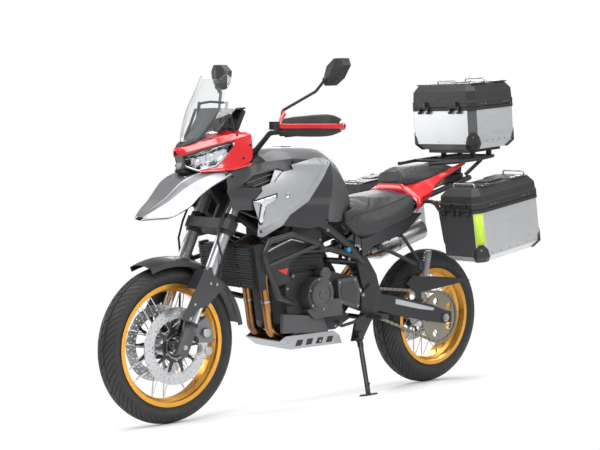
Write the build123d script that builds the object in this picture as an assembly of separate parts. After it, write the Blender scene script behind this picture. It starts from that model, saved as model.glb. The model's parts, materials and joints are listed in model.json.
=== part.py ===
from build123d import *
import math
import os

# Adventure motorcycle with three aluminium luggage boxes, parked on its side stand.
#
# Every piece is drawn with the machine upright, in millimetres: X forward, Y to the rider's
# left, Z up, on the ground halfway between the axles.  The last step leans the whole machine
# to its left, onto the side stand, and moves the origin under the middle of its outline.

# ------------------------------------------------------------------ stance
wheelbase = 1540.0
lean_angle = 10.0

# ------------------------------------------------------------------ wheels
front_tyre_radius = 329.0
front_tyre_width = 110.0
front_crown_radius = 58.0
front_rim_radius = 255.0
front_rim_width = 84.0
rear_tyre_radius = 321.0
rear_tyre_width = 150.0
rear_crown_radius = 78.0
rear_rim_radius = 232.0
rear_rim_width = 124.0
tyre_wall = 12.0
rim_wall = 4.5
rim_flange = 14.0
rim_well = 13.0
spoke_radius = 2.2
spoke_count = 32
spoke_lead = 26.0
running_gap = 0.3

front_hub_radius = 27.0
front_flange_radius = 46.0
front_flange_y = 36.0
front_hub_half = 57.0
rear_hub_radius = 36.0
rear_flange_radius = 60.0
rear_flange_y = 44.0
rear_hub_half = 80.0
flange_thickness = 6.0

front_disc_radius = 160.0
front_disc_inner = 112.0
rear_disc_radius = 130.0
rear_disc_inner = 92.0
disc_thickness = 5.0
front_disc_y = 64.0
rear_disc_y = 88.0
carrier_arms = 6

# ------------------------------------------------------------------ drive
sprocket_radius = 118.0
sprocket_teeth = 42
sprocket_y = 92.0
sprocket_thickness = 6.0
drive_sprocket_radius = 38.0
drive_sprocket_x = -160.0
drive_sprocket_z = 472.0
chain_plate = 2.5
chain_height = 15.0
chain_clearance = 1.2
chain_pitch = 15.875

# ------------------------------------------------------------------ fork and steering
rake_angle = 25.2
axle_lead = 7.0
head_setback = 33.0
fork_y = 105.0
fork_tube_radius = 27.0
fork_slider_radius = 21.5
slider_top = 330.0
tube_bottom = 290.0
tube_top = 808.0
lower_clamp_at = 535.0
upper_clamp_at = 770.0
lower_clamp_height = 46.0
upper_clamp_height = 30.0
stem_radius = 15.0
head_tube_radius = 31.0
front_axle_radius = 10.0
rear_axle_radius = 12.5
fender_radius = front_tyre_radius + 32.0
fender_wall = 4.0
fender_half_width = 74.0

# ------------------------------------------------------------------ bars
bar_radius = 11.0
bar_clamp_y = 50.0
bar_clamp_z = 1112.0
bar_rise_y = 155.0
bar_height = 1200.0
grip_start_y = 272.0
grip_end_y = 420.0
grip_sweep = 100.0
grip_radius = 17.0
housing_length = 56.0
guard_reach_y = 468.0
mirror_y = 380.0
mirror_top = 1508.0
mirror_reach = 455.0

# ------------------------------------------------------------------ luggage
box_wall = 2.5
pannier_front_x = -594.0
pannier_joint_z = 851.0
pannier_length = 440.0
pannier_inner_y = 268.0
pannier_outer_y = 490.0
pannier_depth = 246.0
pannier_lid = 95.0
pannier_pitch = 9.0
top_box_front_x = -868.0
top_box_joint_z = 1320.0
top_box_length = 321.0
top_box_half_width = 206.0
top_box_depth = 205.0
top_box_lid = 110.0
top_box_pitch = 5.0
box_chamfer = 32.0
box_bevel = 28.0
lid_gap = 0.5
hinge_pin_radius = 4.0
hinge_pin_ahead = 10.0
hinge_arm = 26.0

# ------------------------------------------------------------------ body and frame
frame_tube_radius = 19.0
subframe_tube_radius = 13.0
stay_radius = 11.0
rack_tube_radius = 9.0
crash_bar_radius = 13.0
panel_wall = 4.0
pivot_x = -285.0
pivot_z = 440.0
pivot_tube_radius = 22.0
swingarm_inner_y = 104.0
swingarm_outer_y = 128.0
plate_inner_y = 132.0
plate_outer_y = 144.0
header_radius = 21.0
header_y = 60.0
silencer_radius = 52.0
silencer_y = -186.0
engine_half_width = 128.0
alternator_x = 76.0
alternator_z = 500.0
alternator_radius = 74.0
alternator_face_y = 196.0
seat_gap = 0.5

# ------------------------------------------------------------------ side stand
stand_pivot_x = -178.0
stand_pivot_y = 160.0
stand_pivot_z = 282.0
stand_foot_x = -100.0
stand_foot_y = 300.0
stand_leg_radius = 11.0
stand_pin_radius = 6.0
stand_eye_width = 16.0
stand_ear_thickness = 6.0
stand_ear_offset = 12.0

# ------------------------------------------------------------------ worked out from the above
front_axle_x = wheelbase / 2
rear_axle_x = -wheelbase / 2
rake_sin = math.sin(math.radians(rake_angle))
rake_cos = math.cos(math.radians(rake_angle))
lean_sin = math.sin(math.radians(lean_angle))
lean_cos = math.cos(math.radians(lean_angle))
lean_lift = rear_crown_radius * (1 - lean_cos)
world_up = Vector(0, -lean_sin, lean_cos)
fork_foot_x = front_axle_x - axle_lead


# ------------------------------------------------------------------ drawing helpers
def rod(start, end, radius, bore=0.0):
    """A round bar or pipe between two points."""
    start = Vector(*start)
    along = Vector(*end) - start
    plane = Plane(origin=start, z_dir=along.normalized())
    bar = Solid.make_cylinder(radius, along.length, plane)
    if bore > 0:
        bar = bar - Solid.make_cylinder(bore, along.length, plane)
    return bar


def tube(points, radius, bend):
    """A bent round tube: straight runs joined by arcs of the bend radius."""
    path = FilletPolyline(*points, radius=bend)
    return sweep(Plane(origin=path @ 0, z_dir=path % 0) * Circle(radius), path=path)


def plate(outline, y_from, y_to):
    """A flat plate: an outline of (x, z) points, between two values of y."""
    face = Face(Wire.make_polygon([Vector(x, y_from, z) for x, z in outline], close=True))
    return Solid.extrude(face, Vector(0, y_to - y_from, 0))


def slab(x_from, x_to, y_from, y_to, z_from, z_to):
    """A block between two corners."""
    size = Vector(x_to - x_from, y_to - y_from, z_to - z_from)
    return Pos(x_from, y_from, z_from) * Solid.make_box(size.X, size.Y, size.Z)


def skin(sections):
    """A body panel or cushion: flat sections of equal point counts joined by ruled faces."""
    wires = [Wire.make_polygon([Vector(*point) for point in section], close=True)
             for section in sections]
    return Solid.make_loft(wires, True)


def join(shapes):
    """One shape out of overlapping ones."""
    shapes = list(shapes)
    return shapes[0].fuse(*shapes[1:]) if len(shapes) > 1 else shapes[0]


def gather(shapes):
    """Several solids of one piece, which do not touch."""
    solids = []
    for shape in shapes:
        solids.extend(shape.solids())
    return Compound(solids)


def mirrored(shape):
    """The same shape on the other side of the machine."""
    return shape.mirror(Plane.XZ)


def both(shape):
    """A shape and its mirror image."""
    return [shape, mirrored(shape)]


def ring(x, z, y_from, y_to, outer, inner=0.0):
    """A disc or ring square to the wheel axis."""
    return rod((x, y_from, z), (x, y_to, z), outer, inner)


def fork_point(along, y, behind=0.0):
    """A point on the fork line, measured up from the axle's level, moved back square to it."""
    return (fork_foot_x - along * rake_sin - behind * rake_cos, y,
            front_tyre_radius + along * rake_cos - behind * rake_sin)


def fork_plane(along, behind=0.0):
    """A plane square to the fork: its x is the machine's y, its y points backwards."""
    return Plane(origin=fork_point(along, 0, behind), x_dir=(0, 1, 0), z_dir=(-rake_sin, 0, rake_cos))


steering_behind = head_setback * rake_cos


# ------------------------------------------------------------------ wheels
def tyre(axle_x, radius, width, crown, rim_radius, rim_width):
    """A hollow tyre: an arc of tread, two side walls and beads inside the rim's flanges."""
    half = width / 2
    shoulder = radius - crown + math.sqrt(crown ** 2 - half ** 2)
    bead_y = rim_width / 2 - rim_wall - running_gap
    seat = rim_radius - rim_flange + running_gap
    inner_half = half - tyre_wall
    inner_crown = radius - tyre_wall
    profile = Wire([
        Line((seat, bead_y), (rim_radius + 2, bead_y)),
        Line((rim_radius + 2, bead_y), (shoulder, half)),
        ThreePointArc((shoulder, half), (radius, 0), (shoulder, -half)),
        Line((shoulder, -half), (rim_radius + 2, -bead_y)),
        Line((rim_radius + 2, -bead_y), (seat, -bead_y)),
        Line((seat, -bead_y), (seat, tyre_wall - bead_y)),
        Line((seat, tyre_wall - bead_y), (shoulder, -inner_half)),
        ThreePointArc((shoulder, -inner_half), (inner_crown, 0), (shoulder, inner_half)),
        Line((shoulder, inner_half), (seat, bead_y - tyre_wall)),
        Line((seat, bead_y - tyre_wall), (seat, bead_y)),
    ])
    return Pos(axle_x, 0, radius) * revolve(Face(profile), Axis.Y)


def rim(axle_x, axle_z, rim_radius, rim_width):
    """A rim: flanges, bead seats and the well between them, one wall thick."""
    half = rim_width / 2
    seat = rim_radius - rim_flange
    well = seat - rim_well
    outer = [(rim_radius, half), (rim_radius, half - rim_wall), (seat, half - rim_wall),
             (seat, 24), (well, 14)]
    inner = [(well - rim_wall, 16), (seat - rim_wall, 26), (seat - rim_wall, half)]
    right = [(r, -y) for r, y in reversed(outer)]
    inner_right = [(r, -y) for r, y in reversed(inner)]
    profile = Wire.make_polygon([Vector(r, y, 0) for r, y in outer + right + inner_right + inner],
                                close=True)
    return Pos(axle_x, 0, axle_z) * revolve(Face(profile), Axis.Y)


def hub_with_spokes(axle_x, axle_z, half, radius, flange_radius, flange_y, bore, rim_radius):
    """A hub, its two flanges and crossed spokes that end at the rim's well."""
    rim_inside = rim_radius - rim_flange - rim_well - rim_wall
    shapes = [ring(axle_x, axle_z, -half, half, radius)]
    for side in (-1, 1):
        face = side * flange_y
        shapes.append(ring(axle_x, axle_z, face - flange_thickness / 2, face + flange_thickness / 2,
                           flange_radius))
        for number in range(spoke_count // 2):
            turn = 360 / (spoke_count // 2) * number + (90 / spoke_count if side > 0 else 0)
            lead = spoke_lead if number % 2 else -spoke_lead
            start_angle = math.radians(turn)
            end_angle = math.radians(turn + lead)
            start_radius = flange_radius - 5
            end_radius = rim_inside - 3 * running_gap
            start = (axle_x + start_radius * math.cos(start_angle), face,
                     axle_z + start_radius * math.sin(start_angle))
            end = (axle_x + end_radius * math.cos(end_angle), side * 8,
                   axle_z + end_radius * math.sin(end_angle))
            shapes.append(rod(start, end, spoke_radius))
    return join(shapes) - ring(axle_x, axle_z, -half - 1, half + 1, bore + running_gap)


def brake_disc(axle_x, axle_z, y, outer, inner, hub_end, bore, facing):
    """A brake disc and the carrier that bolts it to the hub's end."""
    thick = disc_thickness
    carrier_from = hub_end
    carrier_to = y + facing * thick / 2
    shapes = [ring(axle_x, axle_z, y - thick / 2, y + thick / 2, outer, inner)]
    low, high = sorted((carrier_from, carrier_to))
    shapes.append(ring(axle_x, axle_z, low, high, 46))
    for number in range(carrier_arms):
        angle = 360 / carrier_arms * number
        arm = Box(inner - 30, high - low, 22)
        shapes.append(Pos(axle_x, (low + high) / 2, axle_z) * Rotation(0, angle, 0)
                      * Pos((inner + 34) / 2, 0, 0) * arm)
    return join(shapes) - ring(axle_x, axle_z, low - 1, high + 1, bore)


def front_tyre():
    return tyre(front_axle_x, front_tyre_radius, front_tyre_width, front_crown_radius,
                front_rim_radius, front_rim_width)


def front_rim():
    return rim(front_axle_x, front_tyre_radius, front_rim_radius, front_rim_width)


def front_hub():
    return hub_with_spokes(front_axle_x, front_tyre_radius, front_hub_half, front_hub_radius,
                           front_flange_radius, front_flange_y, front_axle_radius,
                           front_rim_radius)


def front_discs():
    left = brake_disc(front_axle_x, front_tyre_radius, front_disc_y, front_disc_radius,
                      front_disc_inner, front_hub_half + running_gap, front_axle_radius + 1, 1)
    return gather(both(left))


def rear_tyre():
    return tyre(rear_axle_x, rear_tyre_radius, rear_tyre_width, rear_crown_radius,
                rear_rim_radius, rear_rim_width)


def rear_rim():
    return rim(rear_axle_x, rear_tyre_radius, rear_rim_radius, rear_rim_width)


def rear_hub():
    return hub_with_spokes(rear_axle_x, rear_tyre_radius, rear_hub_half, rear_hub_radius,
                           rear_flange_radius, rear_flange_y, rear_axle_radius, rear_rim_radius)


def rear_disc():
    return brake_disc(rear_axle_x, rear_tyre_radius, -rear_disc_y, rear_disc_radius,
                      rear_disc_inner, -rear_hub_half - running_gap, rear_axle_radius + 1, -1)


def rear_sprocket():
    """The toothed ring and the carrier that drives the rear hub."""
    low = rear_hub_half + running_gap
    mid_low = sprocket_y - sprocket_thickness / 2
    mid_high = sprocket_y + sprocket_thickness / 2
    blank = ring(rear_axle_x, rear_tyre_radius, mid_low, mid_high, sprocket_radius)
    notch_radius = math.pi * sprocket_radius / sprocket_teeth * 0.55
    notches = [Pos(rear_axle_x, 0, rear_tyre_radius) * Rotation(0, 360 / sprocket_teeth * tooth, 0)
               * Pos(sprocket_radius, sprocket_y, 0) * Rotation(90, 0, 0)
               * Cylinder(notch_radius, sprocket_thickness + 2) for tooth in range(sprocket_teeth)]
    windows = [Pos(rear_axle_x, 0, rear_tyre_radius) * Rotation(0, 72 * window, 0)
               * Pos(sprocket_radius * 0.68, sprocket_y, 0) * Rotation(90, 0, 0)
               * Cylinder(17, sprocket_thickness + 2) for window in range(5)]
    boss = ring(rear_axle_x, rear_tyre_radius, low, mid_high, 52)
    bore = ring(rear_axle_x, rear_tyre_radius, low - 1, mid_high + 1, rear_axle_radius + 1)
    return boss + blank.cut(*notches, *windows) - bore


def front_axle():
    bar = rod((front_axle_x, -fork_y - 24, front_tyre_radius),
              (front_axle_x, fork_y + 24, front_tyre_radius), front_axle_radius)
    collars = [ring(front_axle_x, front_tyre_radius, front_disc_y + disc_thickness,
                    fork_y - 24, front_axle_radius + 7)]
    collars.append(mirrored(collars[0]))
    return join([bar, *collars])


def rear_axle():
    reach = swingarm_outer_y + 14
    bar = rod((rear_axle_x, -reach, rear_tyre_radius), (rear_axle_x, reach, rear_tyre_radius),
              rear_axle_radius)
    nut = Pos(rear_axle_x, swingarm_outer_y + 7, rear_tyre_radius) * Rotation(90, 0, 0) \
        * extrude(RegularPolygon(21, 6), 6, both=True)
    return join([bar, nut, mirrored(nut)])


# ------------------------------------------------------------------ steering
def fork_tubes():
    """The two outer tubes, bored at their lower end for the sliders."""
    outer = rod(fork_point(tube_bottom, fork_y), fork_point(tube_top, fork_y), fork_tube_radius)
    cap = rod(fork_point(tube_top, fork_y), fork_point(tube_top + 12, fork_y), 17)
    bore = rod(fork_point(tube_bottom - 1, fork_y), fork_point(slider_top + 1, fork_y),
               fork_slider_radius + running_gap)
    return gather(both(outer + cap - bore))


def fork_sliders():
    """The chromed inner tubes and the clamps that hold the axle."""
    slider = rod(fork_point(20, fork_y), fork_point(slider_top, fork_y), fork_slider_radius)
    clamp = fork_plane(18) * Pos(fork_y, 0, 0) * Box(46, 58, 110)
    clamp = chamfer(clamp.edges().filter_by(Axis((0, 0, 0), (-rake_sin, 0, rake_cos))), 14)
    bore = ring(front_axle_x, front_tyre_radius, 0, fork_y + 60, front_axle_radius + running_gap)
    return gather(both(slider + clamp - bore))


def clamp_plate(along, height):
    """A clamp that holds both fork tubes and the steering stem."""
    outline = [(-146, -22), (-124, -40), (-60, -34), (60, -34), (124, -40), (146, -22),
               (146, 22), (120, 40), (45, 66), (-45, 66), (-120, 40), (-146, 22)]
    body = extrude(fork_plane(along) * Polygon(*outline, align=None), height / 2, both=True)
    bores = [rod(fork_point(along - height, y), fork_point(along + height, y),
                 fork_tube_radius + 0.1) for y in (-fork_y, fork_y)]
    return body.cut(*bores)


def triple_clamps():
    lower = clamp_plate(lower_clamp_at, lower_clamp_height)
    upper = clamp_plate(upper_clamp_at, upper_clamp_height)
    stem = rod(fork_point(lower_clamp_at - 20, 0, steering_behind),
               fork_point(upper_clamp_at + 26, 0, steering_behind), stem_radius - running_gap)
    nut = rod(fork_point(upper_clamp_at + 14, 0, steering_behind),
              fork_point(upper_clamp_at + 26, 0, steering_behind), 20)
    return join([lower, upper, stem, nut])


def front_fender():
    """The low front fender: an arc of shell over the tyre and guards in front of the sliders."""
    side_drop = 34.0
    profile = Wire.make_polygon([
        Vector(fender_radius + 5, 0, 0), Vector(fender_radius, 40, 0),
        Vector(fender_radius - 12, fender_half_width, 0),
        Vector(fender_radius - side_drop, fender_half_width, 0),
        Vector(fender_radius - side_drop, fender_half_width - fender_wall, 0),
        Vector(fender_radius - 14, fender_half_width - fender_wall, 0),
        Vector(fender_radius - fender_wall, 38, 0), Vector(fender_radius + 1, 0, 0),
        Vector(fender_radius - fender_wall, -38, 0),
        Vector(fender_radius - 14, fender_wall - fender_half_width, 0),
        Vector(fender_radius - side_drop, fender_wall - fender_half_width, 0),
        Vector(fender_radius - side_drop, -fender_half_width, 0),
        Vector(fender_radius - 12, -fender_half_width, 0), Vector(fender_radius, -40, 0),
    ], close=True)
    shell = revolve(Face(profile), Axis.Y, 102)
    shell = Pos(front_axle_x, 0, front_tyre_radius) * Rotation(0, -170, 0) * shell
    nose = plate([(front_axle_x + 60, 1000), (front_axle_x + 190, front_tyre_radius + 291),
                  (front_axle_x + 300, 1000)], -200, 200)
    outline = [(fork_foot_x + x, front_tyre_radius + z) for x, z in (
        (26, 123), (4, 108), (-62, 156), (-104, 165), (-196, 242), (-133, 290), (-122, 323),
        (-84, 311))]
    guard = plate(outline, fork_y + fork_tube_radius + running_gap,
                  fork_y + fork_tube_radius + 5)
    bridge = plate([(fork_foot_x + x, front_tyre_radius + z) for x, z in (
        (-60, 231), (-44, 237), (-90, 311), (-112, 311))], fender_half_width - fender_wall,
                   fork_y + fork_tube_radius + 5)
    hold = rod(fork_point(tube_bottom - 40, fork_y), fork_point(tube_top, fork_y),
               fork_tube_radius + 0.2)
    arm = bridge - hold
    return join([shell - nose, guard, mirrored(guard), arm, mirrored(arm)])


def front_calipers():
    """Radial calipers behind the sliders, slotted for the discs."""
    body = ring(front_axle_x, front_tyre_radius, 50, 88, 178, 100)
    wedge = plate([(front_axle_x - 60, 340), (front_axle_x - 260, 320), (front_axle_x - 260, 500),
                   (front_axle_x - 60, 400)], 0, 200)
    body = body & wedge
    slot = ring(front_axle_x, front_tyre_radius, front_hub_half - 3, front_disc_y + 6,
                front_disc_radius + 5)
    lug = plate([(fork_foot_x - 10, 372), (fork_foot_x - 20, 420), (fork_foot_x - 110, 400),
                 (fork_foot_x - 112, 362)], 76, 88)
    keep = rod(fork_point(-50, fork_y), fork_point(slider_top, fork_y), fork_slider_radius + 2)
    caliper = (body + lug) - slot - keep - fork_plane(18) * Pos(fork_y, 0, 0) * Box(47, 59, 111)
    return gather(both(caliper))


def bar_point(y):
    """The handlebar's middle line: clamps, rise, then a straight grip that sweeps back."""
    share = (abs(y) - bar_rise_y) / (guard_reach_y - bar_rise_y)
    return (342 - share * (grip_sweep + 60), y, bar_height + share * 30)


def handlebar():
    """The bent bar, its risers and the upper clamp halves."""
    right_end = bar_point(-grip_end_y - 14)
    left_end = bar_point(grip_end_y + 14)
    bend = bar_point(bar_rise_y)
    points = [right_end, (bend[0], -bar_rise_y, bend[2]), (356, -bar_clamp_y - 16, bar_clamp_z),
              (356, bar_clamp_y + 16, bar_clamp_z), (bend[0], bar_rise_y, bend[2]), left_end]
    bar = tube(points, bar_radius, 30)
    risers = []
    for side in (-1, 1):
        foot = fork_point(upper_clamp_at + upper_clamp_height / 2, side * bar_clamp_y,
                          steering_behind)
        risers.append(rod(foot, (356, side * bar_clamp_y, bar_clamp_z), 19))
        risers.append(rod((356, side * bar_clamp_y - 18, bar_clamp_z),
                          (356, side * bar_clamp_y + 18, bar_clamp_z), 23))
    return join([bar, *risers]) - clamp_plate(upper_clamp_at, upper_clamp_height + 2 * running_gap)


def controls():
    """Grips, switch housings, brake master cylinder, clutch perch and levers."""
    shapes = []
    bore = bar_radius + running_gap
    for side in (-1, 1):
        start = Vector(*bar_point(side * grip_start_y))
        end = Vector(*bar_point(side * grip_end_y))
        inner = Vector(*bar_point(side * (grip_start_y - housing_length)))
        root = Vector(*bar_point(side * (grip_start_y - housing_length - 20)))
        grip = rod(start, end, grip_radius, bore)
        housing = rod(inner, start, 25, bore)
        perch = rod(root, inner, 19, bore)
        arm = rod(root + Vector(16, side * 8, 0), root + Vector(40, side * 22, 0), 9)
        lever = tube([root + Vector(34, side * 20, 0), root + Vector(40, side * 56, -2),
                      end + Vector(44, -side * 4, -6)], 6, 20)
        well = Pos(*(root + Vector(32, side * 6, 26))) * Box(42, 30, 34)
        mirror_boss = rod(root + Vector(14, side * 12, 12), mirror_foot(side), 9)
        shapes.append(join([grip, housing, perch, arm, lever, well, mirror_boss]))
    return gather(shapes)


def mirror_foot(side):
    """The top of the boss on each perch that a mirror stalk screws into."""
    return Vector(*bar_point(side * (grip_start_y - housing_length - 20))) \
        + Vector(6, side * 16, 48)


def hand_guards():
    """A bar from the grip's end round to the inner bar, and the shield it carries."""
    end = Vector(*bar_point(grip_end_y + 14))
    out = (Vector(*bar_point(grip_end_y + 14)) - Vector(*bar_point(grip_start_y))).normalized()
    root = Vector(*bar_point(bar_rise_y + 17))
    loop = tube([end + out * 8, end + out * 24, end + Vector(70, 12, 0),
                 end + Vector(104, -66, 0), root + Vector(100, 16, 4),
                 root + Vector(bar_radius + 3.6, 0, 0)], 6, 5)
    cap = rod(end + out * running_gap, end + out * 15, 15)
    top, low = 46, -44
    rows = [  # y, x in front of the grip's end, x of the lower edge, share of the height
        (guard_reach_y + 6, 34, 26, 0.6), (guard_reach_y - 26, 84, 78, 1.0),
        (guard_reach_y - 110, 124, 120, 1.0), (guard_reach_y - 200, 172, 166, 0.92)]
    sections = []
    for y, ahead, ahead_low, taper in rows:
        x_top = end.X + ahead
        x_low = end.X + ahead_low
        sections.append([(x_top, y, end.Z + top * taper), (x_top + 8, y, end.Z),
                         (x_low, y, end.Z + low * taper), (x_low - 4, y, end.Z + low * taper),
                         (x_top + 3, y, end.Z), (x_top - 4, y, end.Z + top * taper)])
    return gather(both(join([loop, cap, skin(sections)])))


def mirrors():
    """A bent stalk on each perch and a round-cornered mirror head."""
    base = mirror_foot(1) + Vector(0, 0, 1)
    stalk = tube([base, base + Vector(-3, 3, 40), (232, mirror_y - 60, mirror_top - 136),
                  (214, mirror_y - 22, mirror_top - 88)], 6, 20)
    joint = Vector(214, mirror_y - 22, mirror_top - 88)
    rows = [  # z, half width, y of the middle
        (mirror_top - 112, 30, 364), (mirror_top - 82, 62, 374), (mirror_top - 30, 72, 390),
        (mirror_top, 40, 404)]
    front = []
    for z, half, middle in rows:
        x = 190 - (z - mirror_top + 108) * 0.2
        front.append([(x - 10, middle - half, z), (x + 14, middle - half * 0.7, z),
                      (x + 26, middle, z), (x + 14, middle + half * 0.7, z),
                      (x - 10, middle + half, z)])
    head = skin(front)
    ball = Pos(*joint) * Sphere(12)
    return gather(both(join([stalk, head, ball])))


def hoses():
    """Two brake hoses from the bar down the fork to the calipers."""
    top = Vector(*bar_point(bar_rise_y + 6)) + Vector(bar_radius + 4.8, 0, 0)
    route = [top, (424, 150, 1130), fork_point(700, 132, -50), fork_point(520, 128, -54),
             fork_point(452, 134, -40), fork_point(400, 144, 0), fork_point(330, 132, 36),
             fork_point(250, 112, 44), (644, 80, 458)]
    return gather(both(tube(route, 4.5, 14)))


# ------------------------------------------------------------------ frame
spar_route = [  # x, y, z of the left main spar
    fork_point(700, 26, 38.6), (330, 92, 884), (200, 132, 846), (10, 138, 790), (-130, 138, 700),
    (-215, 138, 622)]
lower_spar_route = [  # x, y, z of the left lower spar
    fork_point(626.6, 24, 42.2), (330, 128, 742), (180, 140, 690), (-20, 140, 690), (-196, 138, 640)]


def main_frame():
    """Head tube, two spars a side, pivot plates, cross tubes and the side stand's bracket."""
    low = lower_clamp_at + lower_clamp_height / 2 + 5
    high = upper_clamp_at - upper_clamp_height / 2 - 5
    head = rod(fork_point(low, 0, steering_behind), fork_point(high, 0, steering_behind),
               head_tube_radius)
    bore = rod(fork_point(low - 5, 0, steering_behind), fork_point(high + 5, 0, steering_behind),
               stem_radius)
    shapes = [head]
    for route, radius, bend in ((spar_route, frame_tube_radius, 60),
                                (lower_spar_route, frame_tube_radius - 5, 40)):
        left = tube(route, radius, bend)
        shapes += both(left)
    pivot_plate = plate([(-176, 640), (-236, 648), (-300, 560), (-330, 470), (-318, 400),
                         (-270, 350), (-226, 350), (-214, 400), (-222, 480), (-196, 560)],
                        plate_inner_y, plate_outer_y)
    stand_plate = plate([(-270, 352), (-214, 270), (-150, 268), (-168, 340), (-216, 402)],
                        plate_inner_y, plate_outer_y)
    shapes += both(pivot_plate) + [stand_plate]
    for x, z, radius in ((-232, 612, 15), (-246, 364, 12)):
        shapes.append(rod((x, -plate_outer_y, z), (x, plate_outer_y, z), radius))
    shapes.append(ring(pivot_x, pivot_z, -plate_outer_y, plate_outer_y, 13))
    shapes.append(rod((10, -138, 790), (10, 138, 790), 12))
    pad = rod((200, 126, 846), (200, 126, tank_tunnel_z - running_gap), 12)
    shapes += both(pad)
    lug = plate([(-216, 600), (-232, 600), (-246, 662), (-270, 698), (-252, 712), (-230, 680)],
                17.6, 26)
    shapes += both(lug)
    head_x = fork_point(700, 0, steering_behind)[0]
    shapes.append(plate([(head_x + 24, 880), (head_x + 32, 950), (545, 1083.4), (590, 1065),
                         (590, 1010), (head_x + 62, 905)], -14, 14))
    stand_plane = stand_hinge_plane()
    for offset in (-stand_ear_offset, stand_ear_offset):
        shapes.append(stand_plane * Pos(0, 0, offset) * Cylinder(15, stand_ear_thickness))
    shapes.append(stand_plane * Cylinder(stand_pin_radius, 2 * stand_ear_offset))
    web = slab(stand_pivot_x - 14, stand_pivot_x + 14, plate_inner_y, stand_pivot_y + 10,
               stand_pivot_z - 12, stand_pivot_z + 30)
    room = stand_plane * Cylinder(30, 2 * stand_ear_offset - stand_ear_thickness)
    return join(shapes[:-1] + [web - room, shapes[-1]]) - bore


def stand_hinge_direction():
    """The stand's hinge axis: square enough to both the lowered and the folded leg."""
    down = Vector(stand_foot_x - stand_pivot_x, stand_foot_y - stand_pivot_y,
                  stand_foot_z() - stand_pivot_z).normalized()
    folded = Vector(-1, 0.04, -0.04).normalized()
    across = Vector(0, 0.872, 0.489)
    even = down - folded
    return (across - even * (across.dot(even) / even.dot(even))).normalized()


def stand_foot_z():
    """The height, in the upright machine, where the foot meets the ground once it leans."""
    return (stand_foot_y * lean_sin - lean_lift) / lean_cos


def stand_hinge_plane():
    return Plane(origin=(stand_pivot_x, stand_pivot_y, stand_pivot_z),
                 z_dir=stand_hinge_direction())


def side_stand():
    """The lowered stand: an eye on its pin, a leg and a foot flat on the ground."""
    pivot = Vector(stand_pivot_x, stand_pivot_y, stand_pivot_z)
    foot = Vector(stand_foot_x, stand_foot_y, stand_foot_z())
    sole = foot + world_up * 5
    plane = stand_hinge_plane()
    eye = plane * Cylinder(16, stand_eye_width)
    along = (sole - pivot).normalized()
    lug = extrude(Plane(origin=pivot, x_dir=plane.z_dir, z_dir=along)
                  * Rectangle(stand_eye_width, 22), 44)
    leg = rod(pivot + along * 34, sole, stand_leg_radius)
    tang = rod(foot * 0.86 + pivot * 0.14, foot * 0.8 + pivot * 0.2 + Vector(10, 26, 6), 5)
    pad_plane = Plane(origin=foot, x_dir=(1, 0, 0), z_dir=world_up)
    pad = extrude(pad_plane * SlotOverall(92, 46), 7)
    bore = plane * Cylinder(stand_pin_radius + running_gap, 60)
    under = extrude(pad_plane * Rectangle(400, 400), -80)
    return join([eye, lug, leg, tang, pad]) - bore - under


rail_line = [  # x, y, z of the left seat rail
    (-140, 96, 778), (-250, 104, 838), (-620, 112, 890), (-960, 112, 985)]
stay_line = [(-228, 118, 662), (-330, 118, 690), (-626, 112, 884)]
cross_tube_radius = 10.0
tray_rest = 10.8
tray_thickness = 6.0


def height_on(line, x):
    """The height of a tube's middle line at x."""
    for (x_from, _, z_from), (x_to, _, z_to) in zip(line, line[1:]):
        if x_to <= x <= x_from:
            return z_from + (z_to - z_from) * (x - x_from) / (x_to - x_from)
    raise ValueError("no tube at this x")


def tray_top(x):
    """The top of the tray that lies on the seat rails' cross tubes."""
    return height_on(rail_line, x) + tray_rest + tray_thickness


def subframe():
    """Seat rails, their lower stays and the cross tubes under the seat and the rack."""
    rail = tube(rail_line, subframe_tube_radius, 60)
    stay = tube(stay_line, stay_radius, 60)
    shapes = both(rail) + both(stay)
    for x in (-310, -600, -860):
        z = height_on(rail_line, x)
        shapes.append(rod((x, -110, z), (x, 110, z), cross_tube_radius))
    return join(shapes)


# ------------------------------------------------------------------ engine
def engine_block():
    """Crankcase, inclined cylinders and head of a parallel twin."""
    case = plate([(226, 452), (236, 540), (196, 596), (-30, 592), (-150, 560), (-206, 500),
                  (-206, 430), (-150, 372), (-60, 330), (180, 330), (216, 372)],
                 -engine_half_width, engine_half_width)
    barrel = plate([(206, 590), (-10, 590), (20, 720), (232, 720)], -112, 112)
    head = plate([(240, 718), (10, 718), (34, 806), (210, 820), (246, 780)], -124, 124)
    clear = [rod(a, b, frame_tube_radius + 2) for a, b in zip(spar_route, spar_route[1:])]
    clear += [rod(a, b, frame_tube_radius - 3) for a, b in
              zip(lower_spar_route, lower_spar_route[1:])]
    block = join([case, barrel, head])
    pocket = plate([(-100, 430), (-100, 536), (-220, 600), (-220, 380), (-130, 380)],
                   sprocket_y - 14, engine_half_width + 1)
    return block.cut(pocket, *clear, *[mirrored(shape) for shape in clear])


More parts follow.
